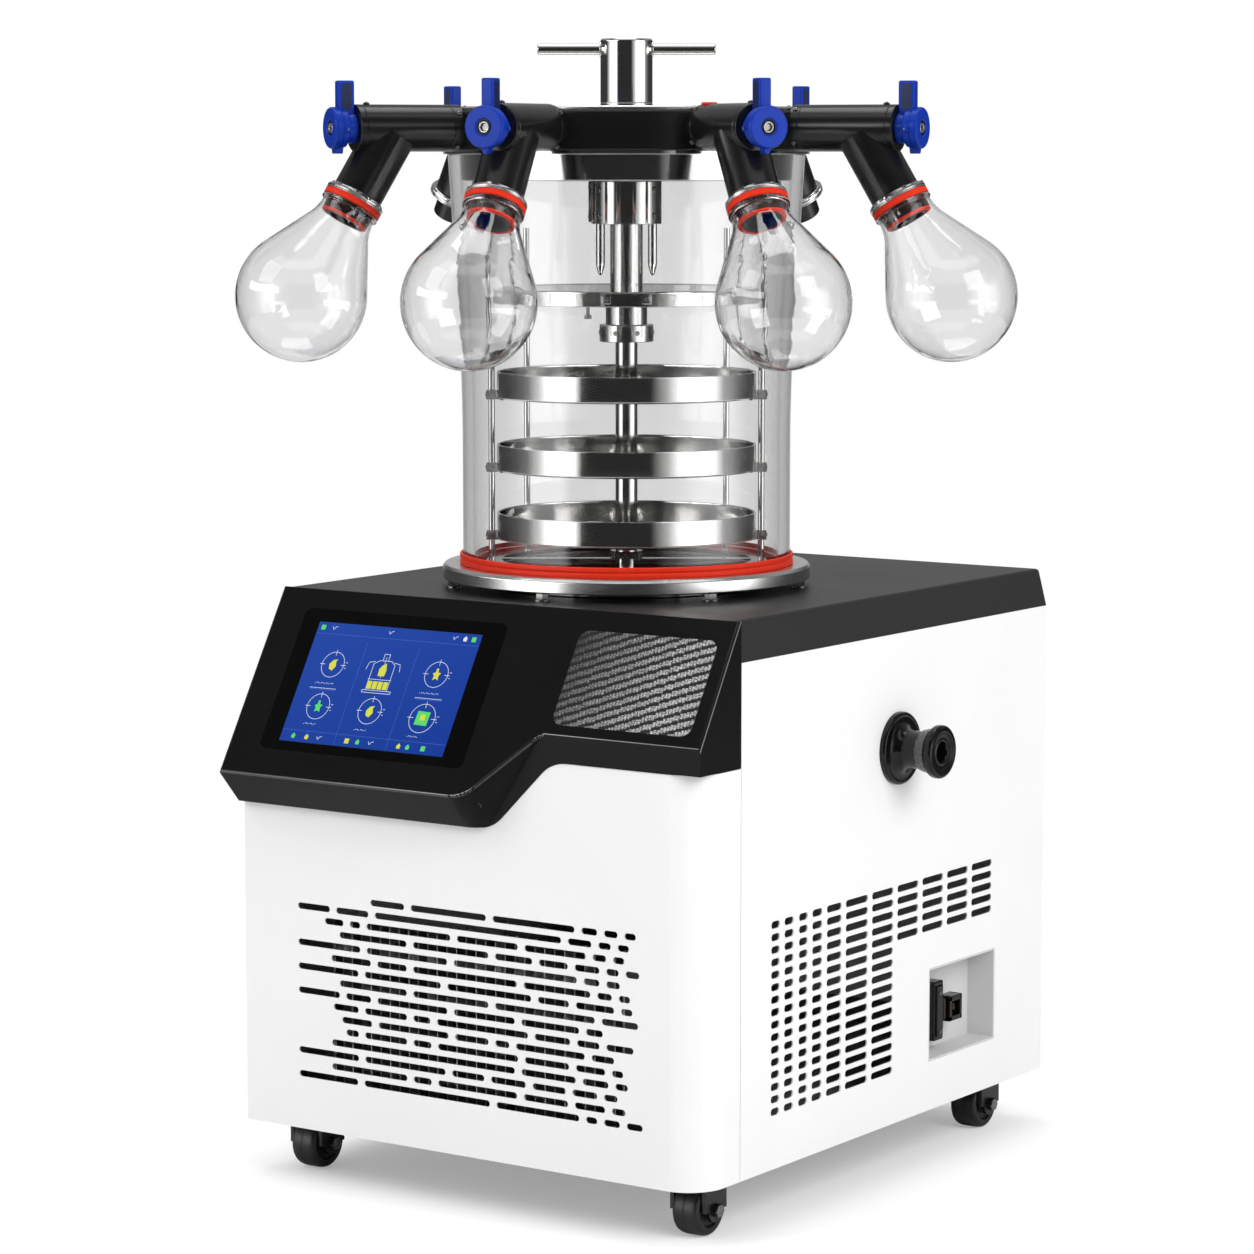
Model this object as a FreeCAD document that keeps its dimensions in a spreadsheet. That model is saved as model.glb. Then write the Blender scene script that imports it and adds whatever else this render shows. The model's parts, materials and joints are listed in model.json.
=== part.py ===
import FreeCAD, Part
import math
import os
import re

import Sketcher

# Bench freeze dryer: a cabinet on casters, a clear chamber with a tray rack, and a manifold of flasks.
# Frame: millimetres, +Z up, X along the cabinet's front, Y into its depth, the front at -Y.
# The origin is on the floor, under the middle of the cabinet.

SIZES = {
    # cabinet
    "cabinet_width": 420, "cabinet_depth": 504, "skirt_z": 42, "panel_top": 422, "cover_top": 452,
    "sheet": 1.2, "corner_radius": 30, "side_seam": 52, "seam_gap": 0.6, "fit_gap": 0.3,
    "rear_flange": 15, "cover_wall": 2.5, "cover_inset": 5, "cover_bevel": 3, "cover_opening_gap": 6,
    "pan_z": 58, "pan_sheet": 2, "pan_flange": 22,
    "post_side": 18, "post_wall": 2, "frame_inset": 12, "frame_front_gap": 6,
    # front and side vents
    "vent_first_z": 224.5, "vent_pitch": 9.3, "front_slot": 5, "side_slot": 5.6, "vent_rows": 16,
    # console
    "console_tilt": 30.8, "console_setback": 50, "console_low_z": 292, "console_high_z": 346,
    "console_step_x": 26, "console_step_run": 54, "step_radius": 30, "lip_left": 26, "lip_right": 22,
    "lip_angle": 48, "lip_shift": -6, "console_proud": 1, "console_wall": 3, "console_edge": 2.5,
    "screen_inset": 30, "screen_width": 192, "screen_height": 118, "screen_drop": 16, "screen_corner": 6,
    "glass": 2, "insert_inset": 12, "insert_width": 121, "insert_height": 76, "insert_drop": 16,
    "insert_corner": 9, "insert_depth": 1.2,
    # power recess and inlet
    "recess_y": 70, "recess_z": 81, "recess_width": 103, "recess_height": 73, "recess_depth": 25,
    "inlet_y": 28, "inlet_z": 8, "inlet_width": 16, "inlet_height": 49, "inlet_depth": 14,
    "inlet_behind": 14, "inlet_margin_y": 1, "inlet_margin_z": 5,
    "snout": 20, "snout_proud": 3, "socket_side": 3.5, "socket_top": 4.5, "socket_floor": 6,
    # vacuum port
    "port_y": 20.5, "port_z": 334, "port_bore": 7.5, "port_neck": 14.5, "port_inside": 12,
    "port_flange": 28, "port_plate": 5, "port_root": 11, "port_disc": 22, "port_cone": 33,
    "port_face": 20.5, "port_reach": 40, "port_seat": 13.5, "seat_depth": 1.5, "port_edge": 1,
    # cold trap
    "trap_radius": 100, "trap_wall": 2, "trap_bottom": 232, "trap_lip": 4, "foam": 25, "foam_top": 427.5,
    "drain_radius": 6, "drain_length": 24, "vacuum_pipe": 9, "pipe_wall": 1,
    "coil_tube": 4, "coil_sleeve": 1.2, "coil_pitch": 20, "coil_rings": 9, "coil_gap": 0.2, "coil_rise": 6,
    # compressor
    "compressor_x": -95, "compressor_y": 150, "compressor_radius": 60, "compressor_height": 150,
    "compressor_foot": 6, "foot_sheet": 3, "foot_reach": 10, "compressor_belt": 3, "belt_height": 5,
    "compressor_pad": 8, "pad_spread": 20, "stub_radius": 4, "stub_length": 30, "stub_spread": 18,
    # condenser and fan
    "condenser_width": 270, "condenser_height": 150, "condenser_depth": 28, "condenser_gap": 14,
    "condenser_end": 2, "fin": 0.8, "fin_count": 30, "fin_margin": 6, "condenser_tube": 5, "tube_rows": 4,
    "fan_radius": 68, "fan_z": 150, "fan_depth": 14, "fan_gap": 6, "fan_blades": 5, "blade": 1.6,
    "blade_twist": 24, "shaft_radius": 3, "motor_radius": 28, "motor_length": 44,
    "motor_foot": 60, "foot_depth": 30, "motor_leg": 30, "leg_sheet": 4,
    # control board
    "board_y": 80, "board_z": 240, "board_width": 120, "board_height": 110, "board": 1.6,
    "stand_off": 6, "stand_off_radius": 3, "stand_off_margin": 6,
    # chamber
    "chamber_y": -40, "face_angle": -55.5, "flange_radius": 142.3, "flange_z": 458.5, "flange_top": 470,
    "opening_radius": 98, "flange_edge": 1.5, "foot_radius": 5, "foot_washer": 6.5, "washer": 2,
    "foot_inset": 8, "gasket": 4.5, "gasket_lip": 8, "gasket_wall": 2.5,
    "chamber_radius": 126.5, "chamber_wall": 8.5, "flare_z": 612, "flare": 10.5,
    "ring_z": 786.2, "ring_height": 30, "ring_radius": 141, "ring_bore": 112, "ring_edge": 1,
    "head_plate": 2.2, "spigot_height": 20, "lid": 3, "lid_inset": 2,
    # press
    "screw_radius": 6, "screw_spare": 20, "running_gap": 0.1, "press_travel": 36, "nut_height": 20,
    "hub_radius": 27, "hub_z": 730.5, "hub_height": 33.5, "hub_neck": 19, "hub_flange": 6,
    "hub_plate": 4, "hub_room": 3, "tube_radius": 12.5, "tube_drop": 36,
    "plate_z": 670.4, "plate_height": 11.6, "plate_sheet": 2.5, "plate_boss": 9,
    "sleeve_radius": 16, "collar_radius": 20.8, "collar_z": 640.4, "collar_height": 13.6,
    "pin_radius": 3.5, "pin_offset": 20, "pin_tip": 691, "pin_point": 8,
    "barrel_radius": 20, "barrel_height": 52, "bar_radius": 4.15, "bar_length": 136, "bar_drop": 8,
    # rack and trays
    "post_radius": 8.5, "post_top": 664, "post_foot": 4, "post_foot_height": 6,
    "rod_radius": 2.5, "rod_circle": 104.6, "rod_top": 726, "rack_ring": 3, "rack_band": 12,
    "spoke": 10, "clip": 8, "clip_height": 7, "ledge": 10, "ledge_sheet": 2,
    "tray_radius": 100, "tray_height": 20, "tray_wall": 1.2, "tray_rim": 2, "rim_height": 1.5,
    "tray_hole": 10.5, "hole_collar": 5, "tray_low_top": 509.5, "tray_mid_top": 562, "tray_high_top": 618,
    # port arms and valves
    "port_axis_z": 803, "arm_radius": 17.5, "arm_end": 222, "arm_bore": 11, "arm_neck": 12, "arm_root": 12,
    "way_over": 7.7, "plug_length": 28, "plug_wall": 3, "plug_window": 7,
    "branch_at": 190, "branch_angle": 31, "branch_radius": 19, "branch_end": 58, "branch_bore": 11.5,
    "spigot_radius": 15, "spigot_end": 80, "ring_seat": 16, "neck_ring": 5, "neck_ring_radius": 23, "seal": 5,
    "knob_radius": 15.5, "knob_depth": 12, "knob_stand": 7, "knob_hub": 4, "knob_well": 4,
    "lever_width": 9.5, "lever_depth": 12.5, "lever_top": 35, "tab_width": 5, "tab_height": 6,
    "nub_radius": 2, "stem_radius": 5,
    # flasks
    "flask_radius": 49, "flask_centre": 144.7, "flask_neck": 21, "flask_wall": 1.8, "flask_lip": 3,
    "flask_straight": 9, "seal_gap": 0.2, "ring_gap": 0.1,
    # casters
    "caster_side_inset": 32, "caster_front_inset": 46, "caster_rear_inset": 54, "caster_trail": 9,
    "wheel_radius": 20, "wheel_width": 23, "axle_radius": 3, "axle_spare": 2.5, "caster_plate": 3,
    "plate_side": 38, "caster_stem": 5, "fork_gap": 0.8, "fork_leg": 3.2, "fork_side": 28,
    "fork_head": 20, "head_gap": 0.4, "fork_eye": 9, "nut_radius": 5, "nut_height_out": 3, "nut_sink": 0.2,
}

# Directions of the six ports, in degrees from the chamber's front, to the right when positive.
PORT_ANGLES = (-66, -25, 25, 66, 142, -142)
FLASK_PORTS = 4
ROD_ANGLES = (-90, 90, -130, 130)
SCREW_ANGLES = (-80, -28, 28, 80, 150, -150)

# Front vent: the start of each row and the lengths of its dashes, 6 mm apart.
DASH_GAP = 6
FRONT_ROWS = (
    (-88, 32, 70, 74, 14, 12, 10), (-158, 31, 31, 172, 21, 11, 10), (-132, 18, 10, 79, 56, 55, 12, 10),
    (-118, 64, 70, 34, 26, 22, 11, 12), (-158, 60, 76, 112, 14, 12), (-126, 38, 28, 96, 60, 13, 10),
    (-158, 58, 72, 77, 28, 34, 10), (-118, 64, 70, 90, 32), (-158, 40, 24, 66, 56, 52, 15),
    (-124, 24, 40, 16, 84, 32, 20, 24), (-116, 29, 66, 31, 13, 62, 20), (-112, 12, 40, 17, 74, 40, 26, 10),
    (-126, 172, 49, 23, 11), (-158, 58, 76, 30, 32, 30, 22, 12), (-126, 72, 17, 73, 40, 27, 12),
    (-158, 57, 118, 75, 10, 14, 14),
)
# Parts on the control board: depth, width, height, and place along and up the board.
BOARD_PARTS = ((18, 34, 26, 12, 14), (14, 18, 44, 60, 20), (10, 30, 14, 20, 70), (22, 24, 22, 84, 66))
# Side vent: first and last Y of each column of slots; the last four columns have only the top rows.
SIDE_COLUMNS = (
    (-158.5, -147), (-140.5, -128), (-120.5, -108.5), (-102, -88), (-81.5, -60.5), (-54.5, -22.5),
    (-16.5, 15), (21, 52.5), (58.5, 90.5), (96.5, 129), (135, 167),
)
SHORT_COLUMNS = 4
SHORT_ROWS = 5

V = FreeCAD.Vector
doc = FreeCAD.newDocument("FreezeDryer")
sheet = doc.addObject("Spreadsheet::Sheet", "Sizes")
for row, (alias, number) in enumerate(SIZES.items(), 1):
    sheet.set(f"A{row}", alias)
    sheet.set(f"B{row}", str(number))
    sheet.setAlias(f"B{row}", alias)
doc.recompute()

parts = {}


# ---- helpers -------------------------------------------------------------------------------------

def size(alias):
    """The value of one cell of the sheet."""
    return float(sheet.get(alias))


def bind(thing, prop, formula):
    """Tie a property to a formula in the sheet's aliases."""
    linked = re.sub(r"[a-z_]+", lambda word: f"Sizes.{word[0]}" if word[0] in SIZES else word[0], formula)
    thing.setExpression(prop, linked)


def place(thing, x="0", y="0", z="0"):
    """Put a thing at a point given by three formulas."""
    for letter, formula in zip("xyz", (x, y, z)):
        bind(thing, f"Placement.Base.{letter}", formula)
    return thing


def node(label, thing):
    """Keep a finished piece under the name of its file."""
    thing.Label = label
    parts[label] = thing
    return thing


def box(name, length, width, height, x, y, z):
    """A block between its low corner (x, y, z) and its sizes, all formulas."""
    block = doc.addObject("Part::Box", name)
    for prop, formula in (("Length", length), ("Width", width), ("Height", height)):
        bind(block, prop, formula)
    return place(block, x, y, z)


def rod(name, radius, length, x="0", y="0", z="0", axis=None, turn="0"):
    """A cylinder from (x, y, z), along +Z or turned about an axis."""
    bar = doc.addObject("Part::Cylinder", name)
    bind(bar, "Radius", radius)
    bind(bar, "Height", length)
    if axis:
        bar.Placement = FreeCAD.Placement(V(), FreeCAD.Rotation(axis, 1))
        bind(bar, "Placement.Rotation.Angle", turn)
    return place(bar, x, y, z)


def along_x(name, radius, length, x, y="0", z="0"):
    """A cylinder along +X."""
    return rod(name, radius, length, x, y, z, V(0, 1, 0), "90")


def along_y(name, radius, length, x, y, z):
    """A cylinder along +Y."""
    return rod(name, radius, length, x, y, z, V(1, 0, 0), "-90")


def fuse(name, *pieces):
    """Several solids joined in one."""
    whole = doc.addObject("Part::MultiFuse", name)
    whole.Shapes = list(pieces)
    return whole


def cut(name, base, *tools):
    """A solid with one or more others taken out of it."""
    result = doc.addObject("Part::Cut", name)
    result.Base = base
    result.Tool = tools[0] if len(tools) == 1 else fuse(f"{name}_tools", *tools)
    return result


def group(name, *pieces):
    """Separate solids kept in one node."""
    together = doc.addObject("Part::Compound", name)
    together.Links = list(pieces)
    return together


def shaped(name, shape, position=None):
    """A piece whose shape is worked out with Part's own functions."""
    piece = doc.addObject("Part::Feature", name)
    piece.Shape = shape
    if position:
        piece.Placement = position
    return piece


def origin_plane(body, role):
    return next(plane for plane in body.Origin.OriginFeatures if plane.Role == role)


def outline(body, name, role, corners):
    """A closed sketch of straight edges on an origin plane, each corner a pair of formulas."""
    sketch = body.newObject("Sketcher::SketchObject", name)
    sketch.AttachmentSupport = [(origin_plane(body, role), "")]
    sketch.MapMode = "FlatFace"
    count = len(corners)
    spots = [V(math.cos(math.tau * i / count), math.sin(math.tau * i / count), 0) for i in range(count)]
    for i in range(count):
        sketch.addGeometry(Part.LineSegment(spots[i], spots[(i + 1) % count]), False)
    for i in range(count):
        sketch.addConstraint(Sketcher.Constraint("Coincident", i, 2, (i + 1) % count, 1))
    for i, pair in enumerate(corners):
        for kind, spot, formula in zip(("DistanceX", "DistanceY"), (spots[i].x, spots[i].y), pair):
            index = sketch.addConstraint(Sketcher.Constraint(kind, -1, 1, i, 1, spot))
            bind(sketch, f"Constraints[{index}]", formula)
    return sketch


def turned(label, corners, y="chamber_y", z="0"):
    """A piece turned on a vertical axis: corners are (radius, height) formulas."""
    body = doc.addObject("PartDesign::Body", f"{label}_body")
    profile = outline(body, f"{label}_profile", "XZ_Plane", corners)
    spin = body.newObject("PartDesign::Revolution", f"{label}_turn")
    spin.Profile = profile
    spin.ReferenceAxis = (profile, ["V_Axis"])
    spin.Angle = 360
    return place(body, "0", y, z)


def pad(label, role, corners, length, reverse=False, middle=False):
    """A piece of one even thickness, from an outline on an origin plane."""
    body = doc.addObject("PartDesign::Body", f"{label}_body")
    profile = outline(body, f"{label}_outline", role, corners)
    block = body.newObject("PartDesign::Pad", f"{label}_pad")
    block.Profile = profile
    bind(block, "Length", length)
    block.Reversed = reverse
    block.Midplane = middle
    return body


def rounded(name, base, radius, chosen):
    """The base with the edges for which chosen(edge) holds rounded."""
    doc.recompute()
    soft = doc.addObject("Part::Fillet", name)
    soft.Base = base
    edges = enumerate(base.Shape.Edges, 1)
    soft.Edges = [(i, radius, radius) for i, edge in edges if chosen(edge)]
    return soft


def is_vertical(edge, x=None, y=None):
    """True for an upright edge, at the given x and y where they are named."""
    low, high = edge.Vertexes[0].Point, edge.Vertexes[-1].Point
    upright = abs(low.x - high.x) < 1e-4 and abs(low.y - high.y) < 1e-4 and abs(low.z - high.z) > 1e-4
    return upright and (x is None or abs(low.x - x) < 1e-3) and (y is None or abs(low.y - y) < 1e-3)


def turn_about_axis(angle):
    """The placement of a piece of the chamber, turned by an angle from its front."""
    turn = FreeCAD.Rotation(V(0, 0, 1), size("face_angle") + angle)
    return FreeCAD.Placement(V(0, size("chamber_y"), 0), turn)


def around(label, master, angle):
    """A copy of a piece made along +X, turned to its direction about the chamber's axis."""
    return shaped(label, master.Shape.copy(), turn_about_axis(angle).multiply(master.Placement))


def slot_shape(length, height, depth):
    """A slot with round ends, along +X from its middle, cut along +Y."""
    half = (length - height) / 2
    if half <= 0:
        return Part.makeCylinder(height / 2, depth, V(0, 0, 0), V(0, 1, 0))
    bar = Part.makeBox(2 * half, depth, height, V(-half, 0, -height / 2))
    ends = [Part.makeCylinder(height / 2, depth, V(x, 0, 0), V(0, 1, 0)) for x in (-half, half)]
    return bar.multiFuse(ends).removeSplitter()


def path_edges(points, radius):
    """Straight edges through the points, with an arc of one radius at each inner corner."""
    edges = []
    start = points[0]
    for before, corner, after in zip(points, points[1:], points[2:]):
        back = (before - corner).normalize()
        ahead = (after - corner).normalize()
        half = back.getAngle(ahead) / 2
        reach = radius / math.tan(half)
        first = corner + back * reach
        last = corner + ahead * reach
        centre = corner + (back + ahead).normalize() * (radius / math.sin(half))
        middle = centre + (corner - centre).normalize() * radius
        edges.append(Part.LineSegment(start, first).toShape())
        edges.append(Part.Arc(first, middle, last).toShape())
        start = last
    edges.append(Part.LineSegment(start, points[-1]).toShape())
    return edges


# ---- cabinet --------------------------------------------------------------------------------------

def cabinet_block(name, inset, low, high, back="0"):
    """An upright block with the cabinet's plan, drawn in by an inset, its front-right corner rounded."""
    plain = box(name, f"cabinet_width - 2*({inset})", f"cabinet_depth - 2*({inset}) - ({back})",
                f"{high} - ({low})", f"-cabinet_width/2 + {inset}", f"-cabinet_depth/2 + {inset}", low)
    doc.recompute()
    limits = plain.Shape.BoundBox
    corner = size("corner_radius") - (size("cabinet_width") / 2 - limits.XMax)
    return rounded(f"{name}_corner", plain, corner, lambda e: is_vertical(e, limits.XMax, limits.YMin))


def base_pan():
    """Folded steel tray that carries everything, inside the foot of the panels."""
    outer = cabinet_block("pan_outer", "sheet + fit_gap", "pan_z", "pan_z + pan_flange", back="sheet")
    inner = cabinet_block("pan_inner", "sheet + fit_gap + pan_sheet", "pan_z + pan_sheet",
                          "pan_z + pan_flange + 1", back="sheet")
    node("base_pan", cut("pan", outer, inner))


def front_panel():
    """White front wrapped round both front corners as far as the side seams, with its dashed vent."""
    seam_back = "cabinet_depth - side_seam"
    outer = cabinet_block("front_outer", "0", "skirt_z", "panel_top", seam_back)
    inner = cabinet_block("front_inner", "sheet", "skirt_z - 1", "panel_top + 1", f"{seam_back} - 4*sheet")
    doc.recompute()
    sheet_steel = outer.Shape.cut(inner.Shape)
    front = -size("cabinet_depth") / 2
    reach = size("cabinet_width")
    above = Part.makeBox(2 * reach, 200, size("panel_top"),
                         V(-reach, front - 50, size("console_low_z") - size("seam_gap")))
    stepped = below_step(size("console_low_z"), size("console_high_z"), 0, front - 60, 240)
    stepped.translate(V(0, 0, -size("seam_gap")))
    sheet_steel = sheet_steel.cut(above.cut(stepped))
    slots = []
    height = size("front_slot")
    for index, (start, *lengths) in enumerate(FRONT_ROWS):
        z = size("vent_first_z") - index * size("vent_pitch")
        for length in lengths:
            slot = slot_shape(length, height, 10)
            slots.append(slot.translated(V(start + length / 2, front - 5, z)))
            start += length + DASH_GAP
    node("front_panel", shaped("front", sheet_steel.cut(Part.makeCompound(slots))))


def side_panel(label, side):
    """White side from the seam to the rear corner, folded in behind the rear panel."""
    front = "-cabinet_depth/2 + side_seam + seam_gap"
    corners = [(f"{side}*cabinet_width/2", front), (f"{side}*cabinet_width/2", "cabinet_depth/2 - sheet"),
               (f"{side}*(cabinet_width/2 - rear_flange)", "cabinet_depth/2 - sheet"),
               (f"{side}*(cabinet_width/2 - rear_flange)", "cabinet_depth/2 - 2*sheet"),
               (f"{side}*(cabinet_width/2 - sheet)", "cabinet_depth/2 - 2*sheet"),
               (f"{side}*(cabinet_width/2 - sheet)", front)]
    return place(pad(label, "XY_Plane", corners, "panel_top - skirt_z"), z="skirt_z")


def right_panel():
    """The side with the air slots, the power recess and the vacuum port."""
    panel = side_panel("right_panel", 1)
    recess = box("recess_window", "20", "recess_width + 2*fit_gap", "recess_height + 2*fit_gap",
                 "cabinet_width/2 - 10", "recess_y - fit_gap", "recess_z - fit_gap")
    port_hole = along_x("port_hole", "port_neck + fit_gap", "20", "cabinet_width/2 - 10", "port_y", "port_z")
    doc.recompute()
    shape = panel.Shape.cut(recess.Shape).cut(port_hole.Shape)
    slots = []
    height = size("side_slot")
    for column, (start, end) in enumerate(SIDE_COLUMNS):
        short = column >= len(SIDE_COLUMNS) - SHORT_COLUMNS
        for index in range(SHORT_ROWS if short else int(size("vent_rows"))):
            slot = slot_shape(end - start, height, 10)
            slot.rotate(V(), V(0, 0, 1), 90)
            z = size("vent_first_z") - index * size("vent_pitch")
            slots.append(slot.translated(V(size("cabinet_width") / 2 + 5, (start + end) / 2, z)))
    node("right_panel", shaped("right", shape.cut(Part.makeCompound(slots))))


def rear_panel():
    """Plain white rear sheet screwed to the folds of the side panels."""
    plate = box("rear", "cabinet_width", "sheet", "panel_top - skirt_z", "-cabinet_width/2",
                "cabinet_depth/2 - sheet", "skirt_z")
    node("rear_panel", plate)


def wedge(name, inset, low, high, overhang):
    """A lid-like block, drawn in towards its top on both sides and at the rear."""
    block = doc.addObject("Part::Wedge", name)
    half = f"cabinet_width/2 - {inset}"
    front = "cabinet_depth/2 - side_seam - seam_gap"
    rear = "cabinet_depth/2"
    bind(block, "Ymin", low)
    bind(block, "Ymax", high)
    bind(block, "Xmin", f"-({half})")
    bind(block, "Xmax", half)
    bind(block, "X2min", f"-({half} - cover_inset)")
    bind(block, "X2max", f"{half} - cover_inset")
    bind(block, "Zmin", f"-{rear} + {inset}")
    bind(block, "Z2min", f"-{rear} + {inset} + cover_inset")
    bind(block, "Zmax", f"{front} + {overhang}")
    bind(block, "Z2max", f"{front} + {overhang}")
    block.Placement = FreeCAD.Placement(V(), FreeCAD.Rotation(V(1, 0, 0), 90))
    return block


def top_cover():
    """Black moulded top with sloping sides and a round opening over the cold trap."""
    outer = wedge("cover_outer", "0", "panel_top", "cover_top", "0")
    top = size("cover_top")
    bevel = size("cover_bevel")
    front = -size("cabinet_depth") / 2 + size("side_seam") + size("seam_gap")

    def on_rim(edge):
        points = [vertex.Point for vertex in edge.Vertexes]
        return all(abs(p.z - top) < 1e-3 for p in points) and any(p.y > front + 1 for p in points)

    soft = rounded("cover_soft", outer, bevel, on_rim)
    inner = wedge("cover_inner", "cover_wall", "panel_top - 1", "cover_top - cover_wall", "-cover_wall")
    opening = rod("cover_opening", "trap_radius + cover_opening_gap", "40", "0", "chamber_y", "panel_top")
    node("top_cover", cut("cover", soft, inner, opening))


def cabinet_frame():
    """Welded frame of square tube: four posts on the base pan and a ring of rails under the cover."""
    low = "pan_z + pan_sheet"
    high = "cover_top - cover_wall"
    side = "post_side"
    x_places = ("-cabinet_width/2 + frame_inset", "cabinet_width/2 - frame_inset - post_side")
    y_places = ("-cabinet_depth/2 + side_seam + frame_front_gap", "cabinet_depth/2 - frame_inset - post_side")
    members = []
    for i, x in enumerate(x_places):
        for j, y in enumerate(y_places):
            post = box(f"post_{i}{j}", side, side, f"{high} - ({low})", x, y, low)
            bore = box(f"post_bore_{i}{j}", f"{side} - 2*post_wall", f"{side} - 2*post_wall",
                       f"{high} - ({low}) - 2*post_wall", f"{x} + post_wall", f"{y} + post_wall",
                       f"{low} + post_wall")
            members.append(cut(f"post_tube_{i}{j}", post, bore))
    rail_z = f"{high} - post_side"
    for i, x in enumerate(x_places):
        length = f"({y_places[1]}) - ({y_places[0]}) - post_side"
        members.append(box(f"side_rail_{i}", side, length, side, x, f"{y_places[0]} + post_side", rail_z))
    for j, y in enumerate(y_places):
        length = f"({x_places[1]}) - ({x_places[0]}) - post_side"
        members.append(box(f"cross_rail_{j}", length, side, side, f"{x_places[0]} + post_side", y, rail_z))
    node("cabinet_frame", fuse("frame", *members))


# ---- console -------------------------------------------------------------------------------------

def console_crest():
    """Where the sloping face starts along Y, level with the cover's top."""
    return size("console_setback") - size("cabinet_depth") / 2


def on_console(x, drop, lift=0.0):
    """A point of the console's sloping face: drop is measured down the slope, lift out of it."""
    tilt = math.radians(size("console_tilt"))
    y = console_crest() - drop * math.sin(tilt) - lift * math.cos(tilt)
    z = size("cover_top") - drop * math.cos(tilt) + lift * math.sin(tilt)
    return V(x, y, z)


def slope_frame(x, drop, lift=0.0):
    """A placement on the sloping face: X to the right, Y up the slope, Z out of the face."""
    turn = FreeCAD.Rotation(V(1, 0, 0), 90 - size("console_tilt"))
    return FreeCAD.Placement(on_console(x, drop, lift), turn)


def drop_at(z):
    """How far down the slope the height z lies."""
    return (size("cover_top") - z) / math.cos(math.radians(size("console_tilt")))


def step_corners(left_z, right_z, shift):
    """The corners (x, z) of a stepped edge seen from the front, from left to right."""
    half = size("cabinet_width") / 2 + 5
    start = size("console_step_x") + shift
    return [(-half, left_z), (start, left_z), (start + size("console_step_run"), right_z), (half, right_z)]


def region_below(points, down, sweep):
    """The prism under a stepped edge: its outline goes down from the edge, and it is swept."""
    edges = path_edges(points, size("step_radius"))
    ends = [points[-1], points[-1] + down, points[0] + down, points[0]]
    edges += [Part.LineSegment(a, b).toShape() for a, b in zip(ends, ends[1:])]
    return Part.Face(Part.Wire(Part.__sortEdges__(edges))).extrude(sweep)


def below_step(left_z, right_z, shift, y, depth):
    """Everything under a stepped edge, straight through along +Y."""
    points = [V(x, y, z) for x, z in step_corners(left_z, right_z, shift)]
    return region_below(points, V(0, 0, -250), V(0, depth, 0))


def profile_block(points, start, end):
    """A block along X with a side profile of (y, z) points."""
    corners = [V(start, y, z) for y, z in points]
    return Part.Face(Part.makePolygon(corners + corners[:1])).extrude(V(end - start, 0, 0))


def console_block():
    """The solid console: sloping face, slanting lip and stepped lower edge."""
    half = size("cabinet_width") / 2
    front = -size("cabinet_depth") / 2 - size("console_proud")
    rear = -size("cabinet_depth") / 2 + size("side_seam")
    low, high = size("console_low_z"), size("console_high_z")
    nose_z = low + size("lip_left")
    nose = on_console(0, drop_at(nose_z))
    lip = math.radians(size("lip_angle"))
    slant = V(0, math.cos(lip), -math.sin(lip))
    tail_y = nose.y + (nose_z - low) / math.tan(lip)
    side = [(rear, size("cover_top")), (console_crest(), size("cover_top")), (nose.y, nose_z),
            (tail_y, low), (rear, low)]
    block = profile_block(side, -half, half)
    corners = step_corners(nose_z, high + size("lip_right"), size("lip_shift"))
    edge = [on_console(x, drop_at(z)) for x, z in corners]
    down = on_console(0, 200) - on_console(0, 0)
    undercut = region_below([p - slant * 40 for p in edge], down, slant * 140)
    ahead = Part.makeBox(4 * half, 200, 2 * size("cover_top"), V(-2 * half, front - 200, 0))
    block = block.cut(undercut.common(ahead))
    return block.cut(below_step(low, high, 0, front - 120, 240))


def console_hollow():
    """The space inside the console, one pocket on each side of the step."""
    wall = size("console_wall")
    tilt = math.radians(size("console_tilt"))
    half = size("cabinet_width") / 2 - wall
    step = size("console_step_x") - size("step_radius") / 2
    rear = -size("cabinet_depth") / 2 + size("side_seam") + 1
    front = -size("cabinet_depth") / 2 + wall
    top_z = size("cover_top") - wall
    crest = (on_console(0, drop_at(top_z), -wall).y, top_z)
    # On the left the pocket follows the slope down to the lip.
    low_floor = size("console_low_z") + wall
    nose_z = low_floor + size("lip_left")
    nose_y = on_console(0, drop_at(nose_z), -wall / math.cos(tilt)).y
    tail_y = nose_y + size("lip_left") / math.tan(math.radians(size("lip_angle")))
    deep = [(rear, top_z), crest, (nose_y, nose_z), (tail_y, low_floor), (rear, low_floor)]
    # On the right it stops behind the cabinet's front.
    high_floor = size("console_high_z") + wall
    shoulder_z = size("cover_top") + (front - console_crest()) / math.tan(tilt) - 2 * wall
    shallow = [(rear, top_z), crest, (front, shoulder_z), (front, high_floor), (rear, high_floor)]
    shallow_start = step + size("console_step_run")
    return profile_block(deep, -half, step).fuse(profile_block(shallow, shallow_start, half))


def on_slope(edge):
    """True for an edge of the sloping face, its top edge apart."""
    ends = [edge.valueAt(t) for t in (edge.FirstParameter, (edge.FirstParameter + edge.LastParameter) / 2)]
    sloping = all(abs(p.y - on_console(0, drop_at(p.z)).y) < 1e-3 for p in ends)
    return sloping and ends[1].z < size("cover_top") - 1e-3


def face_plate(name, x, drop, width, height, depth, corner):
    """A thin plate let into the sloping face, its corners rounded."""
    plate = Part.makeBox(width, height, depth)
    plate = plate.makeFillet(corner, [edge for edge in plate.Edges if is_vertical(edge)])
    return shaped(name, plate, slope_frame(x, drop + height, -depth))


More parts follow.
